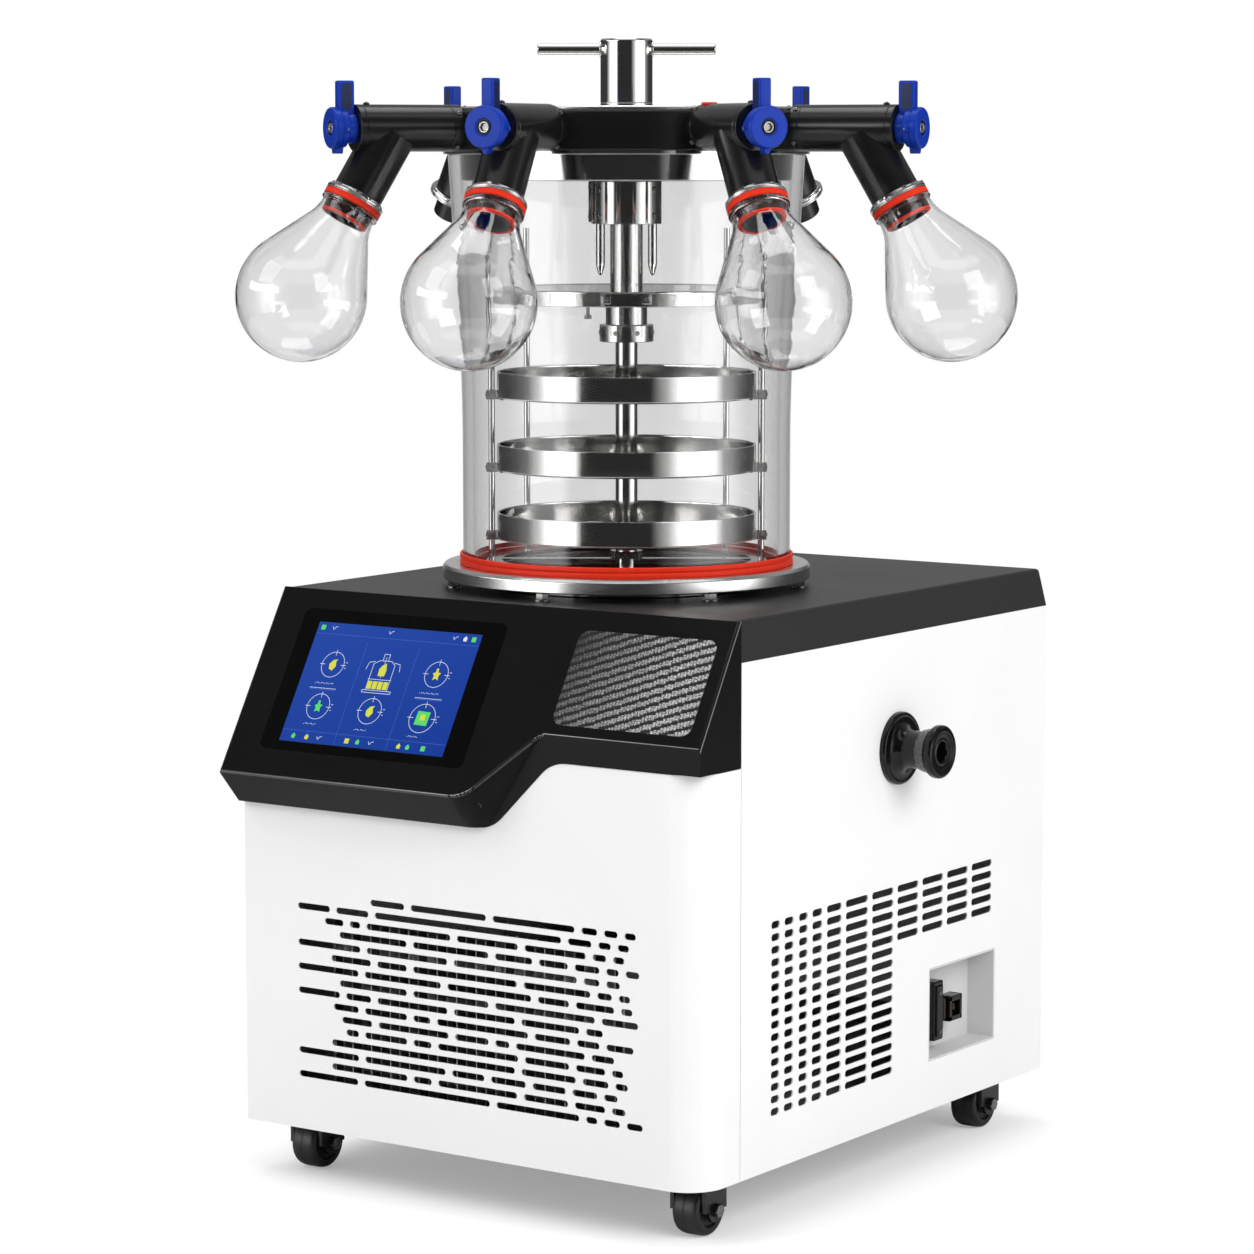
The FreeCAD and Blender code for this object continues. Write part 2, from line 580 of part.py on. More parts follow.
def console():
    """Black moulded bezel with a stepped lower edge, open towards the cabinet, and what is let into it."""
    block = console_block()
    block = block.makeFillet(size("console_edge"), [edge for edge in block.Edges if on_slope(edge)])
    half = size("cabinet_width") / 2
    screen = face_plate("screen", size("screen_inset") - half, size("screen_drop"), size("screen_width"),
                        size("screen_height"), size("glass"), size("screen_corner"))
    insert_x = half - size("insert_inset") - size("insert_width")
    insert = face_plate("insert", insert_x, size("insert_drop"), size("insert_width"),
                        size("insert_height"), size("insert_depth"), size("insert_corner"))
    shell = block.cut(console_hollow()).cut(screen.Shape).cut(insert.Shape)
    node("console_bezel", shaped("bezel", shell))
    node("touch_screen", screen)
    node("trim_insert", insert)


# ---- services on the right-hand side and refrigeration ----------------------------------------------

def power_recess():
    """Folded box let into the right-hand side, with the power inlet in it."""
    back = "cabinet_width/2 - recess_depth"
    outer = box("recess_outer", "recess_depth", "recess_width", "recess_height", back, "recess_y", "recess_z")
    inner = box("recess_inner", "recess_depth", "recess_width - 2*sheet", "recess_height - 2*sheet",
                f"{back} + sheet", "recess_y + sheet", "recess_z + sheet")
    y = "recess_y + inlet_y"
    z = "recess_z + inlet_z"
    width = "inlet_width - 2*inlet_margin_y"
    height = "inlet_height - 2*inlet_margin_z"
    hole = box("inlet_hole", "3*sheet", f"{width} + 2*fit_gap", f"{height} + 2*fit_gap", f"{back} - sheet",
               f"{y} + inlet_margin_y - fit_gap", f"{z} + inlet_margin_z - fit_gap")
    node("power_recess", cut("recess", outer, inner, hole))
    block = box("inlet_block", "inlet_depth", "inlet_width", "inlet_height", f"{back} + sheet", y, z)
    rear = box("inlet_rear", "inlet_behind + sheet", width, height, f"{back} - inlet_behind",
               f"{y} + inlet_margin_y", f"{z} + inlet_margin_z")
    snout_z = f"{z} + (inlet_height - snout)/2"
    snout = box("inlet_snout", "inlet_depth", "snout", "snout", f"{back} + sheet + snout_proud",
                f"{y} + inlet_width", snout_z)
    socket = box("inlet_socket", "inlet_depth", "snout - 2*socket_side", "snout - 2*socket_top",
                 f"{back} + sheet + snout_proud + socket_floor", f"{y} + inlet_width + socket_side",
                 f"{snout_z} + socket_top")
    node("power_inlet", cut("inlet", fuse("inlet_body", block, rear, snout), socket))


def vacuum_port():
    """Black turned port for the vacuum pump's hose: wall plate, neck, cone and end disc."""
    corners = [("port_bore", "-port_inside"), ("port_neck", "-port_inside"), ("port_neck", "0"),
               ("port_flange", "0"), ("port_flange", "port_plate - seat_depth"),
               ("port_flange - seat_depth", "port_plate"), ("(port_flange + port_neck)/2", "port_plate"),
               ("port_neck + 2*port_edge", "port_root - 2*port_edge"), ("port_neck", "port_root"),
               ("port_neck", "port_disc"), ("port_neck + 2*port_edge", "port_disc"),
               ("port_neck + 2.5*port_edge", "port_cone - 3*port_edge"),
               ("port_face - port_edge", "port_cone"), ("port_face", "port_cone + port_edge"),
               ("port_face", "port_reach - port_edge"), ("port_face - port_edge", "port_reach"),
               ("port_seat + port_edge", "port_reach"), ("port_seat", "port_reach - seat_depth"),
               ("port_bore + 2.5*port_edge", "port_reach - seat_depth"),
               ("port_bore", "port_reach - seat_depth - 2.5*port_edge")]
    port = turned("port", corners)
    port.Placement = FreeCAD.Placement(V(), FreeCAD.Rotation(V(0, 1, 0), 90))
    node("vacuum_port", place(port, "cabinet_width/2", "port_y", "port_z"))


def cold_trap():
    """Stainless trap under the chamber, with its lip, drain and the pipe to the vacuum port."""
    lip = "flange_z - trap_wall"
    inner = "trap_radius - trap_wall"
    floor = "trap_bottom + trap_wall"
    cup = turned("trap_cup", [("0", "trap_bottom"), ("trap_radius", "trap_bottom"), ("trap_radius", lip),
                              ("trap_radius + trap_lip", lip), ("trap_radius + trap_lip", "flange_z"),
                              (inner, "flange_z"), (inner, floor), ("0", floor)])
    pipe = along_x("trap_pipe", "vacuum_pipe", "cabinet_width/2 - port_inside - trap_radius/2 - 0.05",
                   "trap_radius/2", "port_y", "port_z")
    bore = along_x("trap_pipe_bore", "vacuum_pipe - pipe_wall", "cabinet_width", "trap_radius/2", "port_y",
                   "port_z")
    room = rod("trap_room", inner, "flange_z - trap_bottom", "0", "chamber_y", floor)
    drain = rod("trap_drain", "drain_radius", "drain_length", "0", "chamber_y", "trap_bottom - drain_length")
    node("cold_trap", cut("trap", fuse("trap_shell", cup, pipe, drain), bore, room))
    outside = "trap_radius + foam"
    inside = "trap_radius + fit_gap"
    foam = turned("foam_jacket", [("0", "trap_bottom - foam"), (outside, "trap_bottom - foam"),
                                  (outside, "foam_top"), (inside, "foam_top"),
                                  (inside, "trap_bottom - fit_gap"), ("0", "trap_bottom - fit_gap")])
    around_pipe = along_x("foam_pipe_hole", "vacuum_pipe + fit_gap", "cabinet_width/2", "trap_radius/2",
                          "port_y", "port_z")
    around_drain = rod("foam_drain_hole", "drain_radius + fit_gap", "2*foam", "0", "chamber_y",
                       "trap_bottom - 1.5*foam")
    node("trap_insulation", cut("foam_cut", foam, around_pipe, around_drain))


def evaporator_coil():
    """Sleeve inside the wall of the trap with its rings of tube, open at the vacuum pipe."""
    outer = "trap_radius - trap_wall - coil_gap"
    wall = f"{outer} - coil_sleeve"
    crest = f"{outer} - 2*coil_tube"
    low = "trap_bottom + trap_wall + coil_rise"
    inside = []
    for i in range(int(size("coil_rings"))):
        z = f"{low} + coil_tube + {i}*coil_pitch"
        inside += [(wall, f"{z} - coil_tube"), (crest, f"{z} - coil_tube/2"), (crest, f"{z} + coil_tube/2"),
                   (wall, f"{z} + coil_tube")]
    high = inside[-1][1]
    sleeve = turned("coil_sleeve", [(outer, low), *inside, (outer, high)])
    mouth = along_x("coil_mouth", "vacuum_pipe", "trap_radius", "0", "port_y", "port_z")
    node("evaporator_coil", cut("coil", sleeve, mouth))


def compressor():
    """Hermetic refrigeration compressor on a foot plate with its two stubs."""
    floor = "pan_z + pan_sheet"
    foot_z = f"{floor} + compressor_foot"
    belt_z = f"{floor} + compressor_height/2"
    top = f"{floor} + compressor_height"
    radius = "compressor_radius"
    shell = turned("compressor_shell", [
        ("0", foot_z), (f"0.75*{radius}", foot_z), (radius, f"{floor} + {radius}/3"), (radius, belt_z),
        (f"{radius} + compressor_belt", belt_z), (f"{radius} + compressor_belt", f"{belt_z} + belt_height"),
        (radius, f"{belt_z} + belt_height"), (f"0.93*{radius}", f"{top} - 0.4*{radius}"),
        (f"{radius}/2", top), ("0", top)], "0")
    place(shell, "compressor_x", "compressor_y")
    foot = box("foot_plate", f"2*({radius} + foot_reach)", radius, "foot_sheet",
               f"compressor_x - {radius} - foot_reach", f"compressor_y - {radius}/2", foot_z)
    pads = [rod(f"foot_pad_{i}", "compressor_pad", "compressor_foot + foot_sheet/2",
                f"compressor_x {side} {radius}", f"compressor_y {end} pad_spread", floor)
            for i, (side, end) in enumerate((side, end) for side in "-+" for end in "-+")]
    stubs = [rod(f"stub_{i}", "stub_radius", "stub_length", f"compressor_x {side} stub_spread",
                 "compressor_y - stub_spread", f"{top} - 2*stub_length/3") for i, side in enumerate("-+")]
    node("compressor", fuse("compressor_unit", shell, foot, *pads, *stubs))


def condenser():
    """Finned condenser behind the front vent: two end plates, fins and level tubes."""
    y = "-cabinet_depth/2 + condenser_gap"
    floor = "pan_z + pan_sheet"
    half = "condenser_width/2"
    plates = [box(f"end_plate_{i}", "condenser_end", "condenser_depth", "condenser_height", x, y, floor)
              for i, x in enumerate((f"-{half}", f"{half} - condenser_end"))]
    count = int(size("fin_count"))
    fins = [box(f"fin_{i}", "fin", "condenser_depth", "condenser_height - 2*fin_margin",
                f"-{half} + condenser_width*{i}/{count}", y, f"{floor} + fin_margin")
            for i in range(1, count)]
    rows = int(size("tube_rows"))
    tubes = [along_x(f"condenser_tube_{i}", "condenser_tube", "condenser_width", f"-{half}",
                     f"{y} + condenser_depth/2", f"{floor} + condenser_height*{i}/{rows + 1}")
             for i in range(1, rows + 1)]
    node("condenser", fuse("condenser_core", *plates, *fins, *tubes))


def fan():
    """Fan motor on its foot, and the bladed rotor on the motor's shaft."""
    rotor_y = "-cabinet_depth/2 + condenser_gap + condenser_depth + fan_gap"
    motor_y = f"{rotor_y} + fan_depth + fan_gap"
    floor = "pan_z + pan_sheet"
    motor = along_y("motor_can", "motor_radius", "motor_length", "0", motor_y, "fan_z")
    shaft = along_y("motor_shaft", "shaft_radius", "fan_depth + 2*fan_gap", "0",
                    f"{motor_y} - fan_depth - fan_gap", "fan_z")
    foot = box("foot", "motor_foot", "foot_depth", "foot_sheet", "-motor_foot/2", f"{motor_y} + fan_gap",
               floor)
    leg = box("leg", "motor_leg", "leg_sheet", f"fan_z - ({floor})", "-motor_leg/2",
              f"{motor_y} + motor_length/2", floor)
    node("fan_motor", fuse("motor", motor, shaft, foot, leg))
    depth = size("fan_depth")
    radius = size("fan_radius")
    across = V(0, 1, 0)
    chord = radius / 2
    blades = []
    for i in range(int(size("fan_blades"))):
        corner = V(0.2 * radius, -size("blade") / 2, -chord / 2)
        blade = Part.makeBox(0.8 * radius, size("blade"), chord, corner)
        blade.rotate(V(), V(1, 0, 0), size("blade_twist"))
        blade.translate(V(0, depth / 2, 0))
        blade.rotate(V(), across, 360 / size("fan_blades") * i)
        blades.append(blade)
    hub = Part.makeCylinder(radius / 4, depth, V(), across)
    disc = Part.makeCylinder(radius, depth, V(), across)
    bore = Part.makeCylinder(size("shaft_radius") + size("running_gap"), depth, V(), across)
    rotor = hub.multiFuse(blades).common(disc).cut(bore)
    node("condenser_fan", place(shaped("rotor", rotor), "0", rotor_y, "fan_z"))


def control_board():
    """Circuit board on four stand-offs inside the left panel, with its larger parts."""
    wall = "-cabinet_width/2 + sheet"
    board = box("board_plate", "board", "board_width", "board_height", f"{wall} + stand_off", "board_y",
                "board_z")
    margin = "stand_off_margin"
    legs = [along_x(f"stand_off_{i}", "stand_off_radius", "stand_off + board/2", wall, f"board_y + {dy}",
                    f"board_z + {dz}")
            for i, (dy, dz) in enumerate((dy, dz) for dy in (margin, f"board_width - {margin}")
                                         for dz in (margin, f"board_height - {margin}"))]
    chips = [box(f"board_part_{i}", str(depth), str(width), str(height), f"{wall} + stand_off + board",
                 f"board_y + {dy}", f"board_z + {dz}")
             for i, (depth, width, height, dy, dz) in enumerate(BOARD_PARTS)]
    node("control_board", fuse("board_unit", board, *legs, *chips))


# ---- chamber and manifold ---------------------------------------------------------------------------

def flange():
    """Base flange of the chamber, standing on washers and screw heads on the top cover."""
    edge = "flange_edge"
    node("base_flange", turned("flange", [
        ("opening_radius", "flange_z"), (f"flange_radius - {edge}", "flange_z"),
        ("flange_radius", f"flange_z + {edge}"), ("flange_radius", f"flange_top - {edge}"),
        (f"flange_radius - {edge}", "flange_top"), ("opening_radius", "flange_top")]))
    base = V(size("flange_radius") - size("foot_inset"), 0, size("cover_top"))
    foot = Part.makeCylinder(size("foot_radius"), size("flange_z") - size("cover_top"), base)
    foot = foot.fuse(Part.makeCylinder(size("foot_washer"), size("washer"), base))
    form = shaped("screw_form", foot)
    screws = [around(f"flange_screw_{i}", form, angle) for i, angle in enumerate(SCREW_ANGLES, 1)]
    node("flange_screws", group("screws", *screws))


def chamber():
    """Red gasket on the flange, clear cylinder flared at the top, its head and the lid."""
    low = "flange_top + gasket"
    inner = "chamber_radius - chamber_wall"
    seat = "chamber_radius + fit_gap"
    rim = "chamber_radius + gasket_wall"
    node("base_gasket", turned("gasket", [
        (f"{inner} - seat_depth", "flange_top"), (rim, "flange_top"), (rim, "flange_top + gasket_lip"),
        (seat, "flange_top + gasket_lip"), (seat, low), (f"{inner} - seat_depth", low)]))
    top = "ring_z - head_plate"
    node("chamber_cylinder", turned("cylinder", [
        (inner, low), ("chamber_radius", low), ("chamber_radius", "flare_z"),
        ("chamber_radius + flare", top), (f"{inner} + flare", top), (inner, "flare_z")]))
    spigot_low = f"{top} - spigot_height"
    spigot = f"{inner} + flare*({spigot_low} - flare_z)/({top} - flare_z) - fit_gap"
    node("chamber_head", turned("head", [
        ("ring_bore", spigot_low), (spigot, spigot_low), (spigot, top), ("ring_radius", top),
        ("ring_radius", "ring_z"), ("ring_bore", "ring_z")]))
    ring_top = "ring_z + ring_height"
    bore = "screw_radius + running_gap"
    rim = "ring_radius - lid_inset"
    node("lid_plate", turned("lid", [
        (bore, ring_top), (rim, ring_top), (rim, f"{ring_top} + lid - ring_edge"),
        (f"{rim} - ring_edge", f"{ring_top} + lid"), (bore, f"{ring_top} + lid")]))


def manifold_ring():
    """Black ring between the chamber and its lid, with a port bore for each arm."""
    top = "ring_z + ring_height"
    edge = "ring_edge"
    ring = turned("ring", [("ring_bore", "ring_z"), (f"ring_radius - {edge}", "ring_z"),
                           ("ring_radius", f"ring_z + {edge}"), ("ring_radius", f"{top} - {edge}"),
                           (f"ring_radius - {edge}", top), ("ring_bore", top)])
    bore = along_x("ring_port", "arm_neck", "ring_radius", "ring_bore - arm_root", z="port_axis_z")
    doc.recompute()
    shape = ring.Shape.copy()
    for angle in PORT_ANGLES:
        tool = bore.Shape.copy()
        tool.Placement = turn_about_axis(angle).multiply(bore.Placement)
        shape = shape.cut(tool)
    node("manifold_ring", shaped("bored_ring", shape))


def press_hub():
    """Hub under the lid that guides the press tube, with its two pins."""
    ring_top = "ring_z + ring_height"
    bore = "tube_radius + running_gap"
    thread = "screw_radius + running_gap"
    shoulder = "hub_z + hub_height"
    room_top = f"{ring_top} - tube_drop + hub_room"
    rim = "hub_radius + hub_flange"
    hub = turned("hub", [(bore, "hub_z"), ("hub_radius", "hub_z"), ("hub_radius", shoulder),
                         ("hub_neck", shoulder), ("hub_neck", f"{ring_top} - hub_plate"),
                         (rim, f"{ring_top} - hub_plate"), (rim, ring_top), (thread, ring_top),
                         (thread, room_top), (bore, room_top)], "0")
    pins = [turned(f"guide_pin_{i}", [("0", "pin_tip"), ("pin_radius", "pin_tip + pin_point"),
                                      ("pin_radius", "hub_z + 1"), ("0", "hub_z + 1")], f"{side}pin_offset")
            for i, side in enumerate(("-", ""))]
    whole = fuse("hub_with_pins", hub, *pins)
    doc.recompute()
    node("press_hub", around("hub_turned", whole, 0))


def press_handle():
    """Barrel over the lid with its cross bar, and the lead screw held in it."""
    low = "ring_z + ring_height + lid + fit_gap"
    high = "ring_z + ring_height + lid + barrel_height"
    bar_z = f"{high} - bar_drop"
    screw_top = f"{bar_z} - bar_radius - fit_gap"
    screw_low = "ring_z + ring_height - tube_drop - nut_height - press_travel - screw_spare"
    node("lead_screw", turned("screw", [("0", screw_low), ("screw_radius", screw_low),
                                        ("screw_radius", screw_top), ("0", screw_top)]))
    edge = "ring_edge"
    barrel = turned("barrel", [("screw_radius", low), ("barrel_radius", low),
                               ("barrel_radius", f"{high} - {edge}"), (f"barrel_radius - {edge}", high),
                               ("0", high), ("0", screw_top), ("screw_radius", screw_top)], "0")
    hole = along_y("bar_hole", "bar_radius", "3*barrel_radius", "0", "-1.5*barrel_radius", bar_z)
    bored = cut("bored_barrel", barrel, hole)
    bar = along_y("cross_bar", "bar_radius", "bar_length", "0", "-bar_length/2", bar_z)
    doc.recompute()
    node("press_handle", around("handle", bored, 0))
    node("handle_bar", around("bar", bar, 0))


def press_plate():
    """The plate that the screw drives down on the trays, with its tube, nut and collar."""
    tube_top = "ring_z + ring_height - tube_drop"
    thread = "screw_radius + running_gap"
    post = "post_radius + fit_gap"
    collar_top = "collar_z + collar_height"
    node("press_spindle", turned("spindle", [
        (post, "collar_z"), ("collar_radius", "collar_z"), ("collar_radius", collar_top),
        ("sleeve_radius", collar_top), ("sleeve_radius", "plate_z"), ("tube_radius", "plate_z"),
        ("tube_radius", tube_top), (thread, tube_top), (thread, f"{tube_top} - nut_height"),
        (post, f"{tube_top} - nut_height")]))
    top = "plate_z + plate_height"
    boss = "sleeve_radius + plate_boss"
    rim = "tray_radius - plate_sheet"
    node("press_plate", turned("plate", [
        ("tube_radius", "plate_z"), (boss, "plate_z"), (boss, f"{top} - plate_sheet"),
        (rim, f"{top} - plate_sheet"), (rim, "plate_z"), ("tray_radius", "plate_z"), ("tray_radius", top),
        ("tube_radius", top)]))


# ---- tray rack --------------------------------------------------------------------------------------

def tray_tops():
    return [size(f"tray_{level}_top") for level in ("low", "mid", "high")]


def rack():
    """Welded rack: foot ring with spokes, centre post, four rods and the clips under the trays."""
    base = size("flange_top")
    ring = size("rack_ring")
    circle = size("rod_circle")
    clip = size("clip")
    ledge = size("ledge_sheet")
    outer = circle + clip / 2
    spoke = size("spoke")
    reach = outer - clip / 2
    tray = size("tray_radius") + size("fit_gap")
    foot = Part.makeCylinder(outer, ring, V(0, 0, base))
    foot = foot.cut(Part.makeCylinder(outer - size("rack_band"), ring, V(0, 0, base)))
    pieces = [Part.makeBox(2 * reach, spoke, ring, V(-reach, -spoke / 2, base)),
              Part.makeBox(spoke, 2 * reach, ring, V(-spoke / 2, -reach, base)),
              Part.makeCylinder(size("post_radius"), size("post_top") - base, V(0, 0, base)),
              Part.makeCylinder(size("post_radius") + size("post_foot"), ring + size("post_foot_height"),
                                V(0, 0, base))]
    for angle in ROD_ANGLES:
        side = Part.makeCylinder(size("rod_radius"), size("rod_top") - base, V(circle, 0, base))
        for top in tray_tops():
            bottom = top - size("tray_height")
            corner = V(circle - clip / 2, -clip / 2, bottom - ledge)
            block = Part.makeBox(clip, clip, size("clip_height"), corner)
            shelf = Part.makeBox(size("ledge"), clip, ledge, corner - V(size("ledge"), 0, 0))
            room = Part.makeCylinder(tray, size("tray_height"), V(0, 0, bottom))
            side = side.fuse(block.cut(room)).fuse(shelf)
        side.rotate(V(), V(0, 0, 1), angle)
        pieces.append(side)
    node("tray_rack", shaped("rack_weldment", foot.multiFuse(pieces), turn_about_axis(0)))


def trays():
    """Three round stainless trays, each with a rolled rim and a collar round its hole for the post."""
    for number, level in enumerate(("low", "mid", "high"), 1):
        top = f"tray_{level}_top"
        floor = f"{top} - tray_height"
        rim = "tray_radius - tray_rim"
        wall = "tray_radius - tray_wall"
        collar = "tray_hole + tray_wall"
        node(f"tray_{number}", turned(f"tray_{level}", [
            ("tray_hole", floor), ("tray_radius", floor), ("tray_radius", top), (rim, top),
            (rim, f"{top} - rim_height"), (wall, f"{top} - rim_height"), (wall, f"{floor} + tray_wall"),
            (collar, f"{floor} + tray_wall"), (collar, f"{floor} + hole_collar"),
            ("tray_hole", f"{floor} + hole_collar")]))


# ---- port arms, valves and flasks -------------------------------------------------------------------

def on_branch(name, radius, start, length):
    """A cylinder along a branch, from a distance along it measured from the arm's axis."""
    lean = "branch_angle"
    x = f"branch_at + ({start})*sin({lean}*1deg)"
    z = f"port_axis_z - ({start})*cos({lean}*1deg)"
    return rod(name, radius, length, x, "0", z, V(0, 1, 0), f"180 - {lean}")


def port_arm():
    """One black arm: neck in the ring, level tube for the valve, and the branch with its spigot."""
    z = "port_axis_z"
    root = "ring_radius - arm_root"
    tube = along_x("arm_tube", "arm_radius", f"arm_end - ({root})", root, z=z)
    ring = rod("arm_saddle", "ring_radius + fit_gap", "4*arm_radius", z=f"{z} - 2*arm_radius")
    neck = along_x("arm_neck_tube", "arm_neck - fit_gap", "ring_radius - ring_bore", "ring_bore + arm_root/2",
                   z=z)
    branch = on_branch("arm_branch", "branch_radius", "0", "branch_end")
    spigot = on_branch("arm_spigot", "spigot_radius", "branch_end - 2", "spigot_end - branch_end + 2")
    seat = on_branch("arm_ring_seat", "ring_seat", "branch_end - 2", "neck_ring + 2")
    solid = fuse("arm_solid", cut("arm_cut", fuse("arm_outer", tube, branch), ring), neck, spigot, seat)
    way = along_x("arm_way", "arm_bore", "branch_at + way_over - ring_bore", "ring_bore", z=z)
    stem_way = along_x("arm_stem_way", "stem_radius + running_gap", "arm_end", "branch_at", z=z)
    down = on_branch("arm_down", "branch_bore", "0", "spigot_end + 5")
    arm = cut("arm_master", solid, way, stem_way, down)
    doc.recompute()
    copies = [around(f"port_arm_{i}", arm, angle) for i, angle in enumerate(PORT_ANGLES, 1)]
    node("port_arms", group("arms", *copies))


def valve_knobs():
    """Blue valve levers: disc, hub, paddle and pointed tab, and a stem with the hollow plug in the arm.

    The plug's window looks sideways at rest, which closes the port; a quarter turn brings it to the branch.
    """
    z = "port_axis_z"
    back = "arm_end + fit_gap"
    face = f"{back} + knob_stand + knob_depth"
    plug_x = "branch_at + way_over - fit_gap"
    disc = along_x("knob_disc", "knob_radius", "knob_depth", f"{back} + knob_stand", z=z)
    hub = along_x("knob_hub", "knob_radius - knob_hub", "knob_stand + 1", back, z=z)
    stem = along_x("knob_stem", "stem_radius", f"arm_end + 2 - ({plug_x})", f"{plug_x} - 1", z=z)
    plug = along_x("plug_body", "arm_bore - running_gap", "plug_length", f"{plug_x} - plug_length", z=z)
    room = along_x("plug_room", "arm_bore - plug_wall", "plug_length - plug_wall", f"{plug_x} - plug_length",
                   z=z)
    window = along_y("plug_side", "plug_window", "arm_bore", f"{plug_x} - plug_wall - 1.2*plug_window", "0",
                     z)
    lever = box("knob_lever", "lever_depth", "lever_width", "lever_top", f"{back} + 0.5", "-lever_width/2", z)
    tab = box("knob_tab", "knob_depth - knob_well", "tab_width", "tab_height",
              f"{back} + knob_stand + knob_well/2", "-tab_width/2", f"{z} - knob_radius - 0.7*tab_height")
    nubs = along_y("knob_nubs", "nub_radius", "2*(knob_radius + nub_radius)", f"{face} - knob_depth/2",
                   "-knob_radius - nub_radius", z)
    well = along_x("knob_well", "stem_radius", "knob_well + 1", f"{face} - knob_well", z=z)
    knob = cut("knob_master", fuse("knob_solid", disc, hub, stem, plug, lever, tab, nubs), well, room, window)
    doc.recompute()
    for i, angle in enumerate(PORT_ANGLES, 1):
        node(f"valve_lever_{i}", around(f"valve_{i}", knob, angle))


def flask_profile(inset):
    """Half outline of the pear-shaped flask along its axis: its mouth at 0, the bottom furthest out."""
    radius = size("flask_radius") - inset
    neck = size("flask_neck") - inset
    centre = size("flask_centre") - size("branch_end") - size("neck_ring") - size("seal")
    straight = size("flask_straight")
    span = centre - straight
    reach = math.hypot(span, neck)
    lean = math.asin(radius / reach) - math.atan2(neck, span)
    touch = V(radius * math.cos(lean), 0, centre - radius * math.sin(lean))
    bottom = V(0, 0, centre + radius)
    turn = (math.pi / 2 + lean) / 2 - lean
    middle = V(radius * math.cos(turn), 0, centre + radius * math.sin(turn))
    mouth = -1 if inset else 0
    start = V(neck, 0, mouth)
    shoulder = V(neck, 0, straight)
    edges = [Part.makeLine(V(0, 0, mouth), start), Part.makeLine(start, shoulder),
             Part.makeLine(shoulder, touch), Part.Arc(touch, middle, bottom).toShape(),
             Part.makeLine(bottom, V(0, 0, mouth))]
    return Part.Face(Part.Wire(edges)).revolve(V(), V(0, 0, 1), 360)


def flasks():
    """Clear pear-shaped flasks with a beaded lip, pushed on the seals of the front four ports."""
    outer = flask_profile(0)
    lip = Part.makeCylinder(size("neck_ring_radius"), size("flask_lip"))
    lip = lip.makeFillet(size("flask_lip") * 0.45, [e for e in lip.Edges if len(e.Vertexes) == 1])
    glass = outer.fuse(lip).cut(flask_profile(size("flask_wall")))
    mouth = size("branch_end") + size("neck_ring") + size("seal")
    lean = math.radians(size("branch_angle"))
    start = V(size("branch_at") + mouth * math.sin(lean), 0, size("port_axis_z") - mouth * math.cos(lean))
    pose = FreeCAD.Placement(start, FreeCAD.Rotation(V(0, 1, 0), 180 - size("branch_angle")))
    for i, angle in enumerate(PORT_ANGLES[:FLASK_PORTS], 1):
        node(f"flask_{i}", shaped(f"flask_{i}_glass", glass.copy(), turn_about_axis(angle).multiply(pose)))


def neck_rings_and_seals():
    """Bright end ring on each branch, and the red flanged seal on each spigot that holds a flask."""
    ring = cut("ring_form", on_branch("end_ring", "neck_ring_radius", "branch_end", "neck_ring"),
               on_branch("end_ring_bore", "ring_seat + ring_gap", "branch_end - 1", "neck_ring + 2"))
    seat = "branch_end + neck_ring"
    flange = on_branch("seal_flange", "neck_ring_radius", seat, "seal - seal_gap")
    plug = on_branch("seal_plug", "flask_neck - flask_wall - fit_gap", seat, f"spigot_end - ({seat})")
    bore = on_branch("seal_bore", "spigot_radius + ring_gap", "branch_end", "spigot_end")
    seal = cut("seal_form", fuse("seal_solid", flange, plug), bore)
    doc.recompute()
    rings = [around(f"neck_ring_{i}", ring, angle) for i, angle in enumerate(PORT_ANGLES, 1)]
    node("neck_rings", group("rings", *rings))
    seals = [around(f"seal_{i}", seal, angle) for i, angle in enumerate(PORT_ANGLES[:FLASK_PORTS], 1)]
    node("flask_seals", group("seals", *seals))


# ---- casters ----------------------------------------------------------------------------------------

def caster_plate(name, x, swivel_y):
    """Mounting plate under the base pan with its swivel stem."""
    plate = box(f"plate_{name}", "plate_side", "plate_side", "caster_plate", f"{x} - plate_side/2",
                f"{swivel_y} - plate_side/2", "pan_z - caster_plate")
    stem_z = "2*wheel_radius + fork_gap + nut_sink"
    stem = rod(f"stem_{name}", "caster_stem", f"pan_z - 1 - ({stem_z})", x, swivel_y, stem_z)
    return fuse(f"caster_plate_{name}", plate, stem)


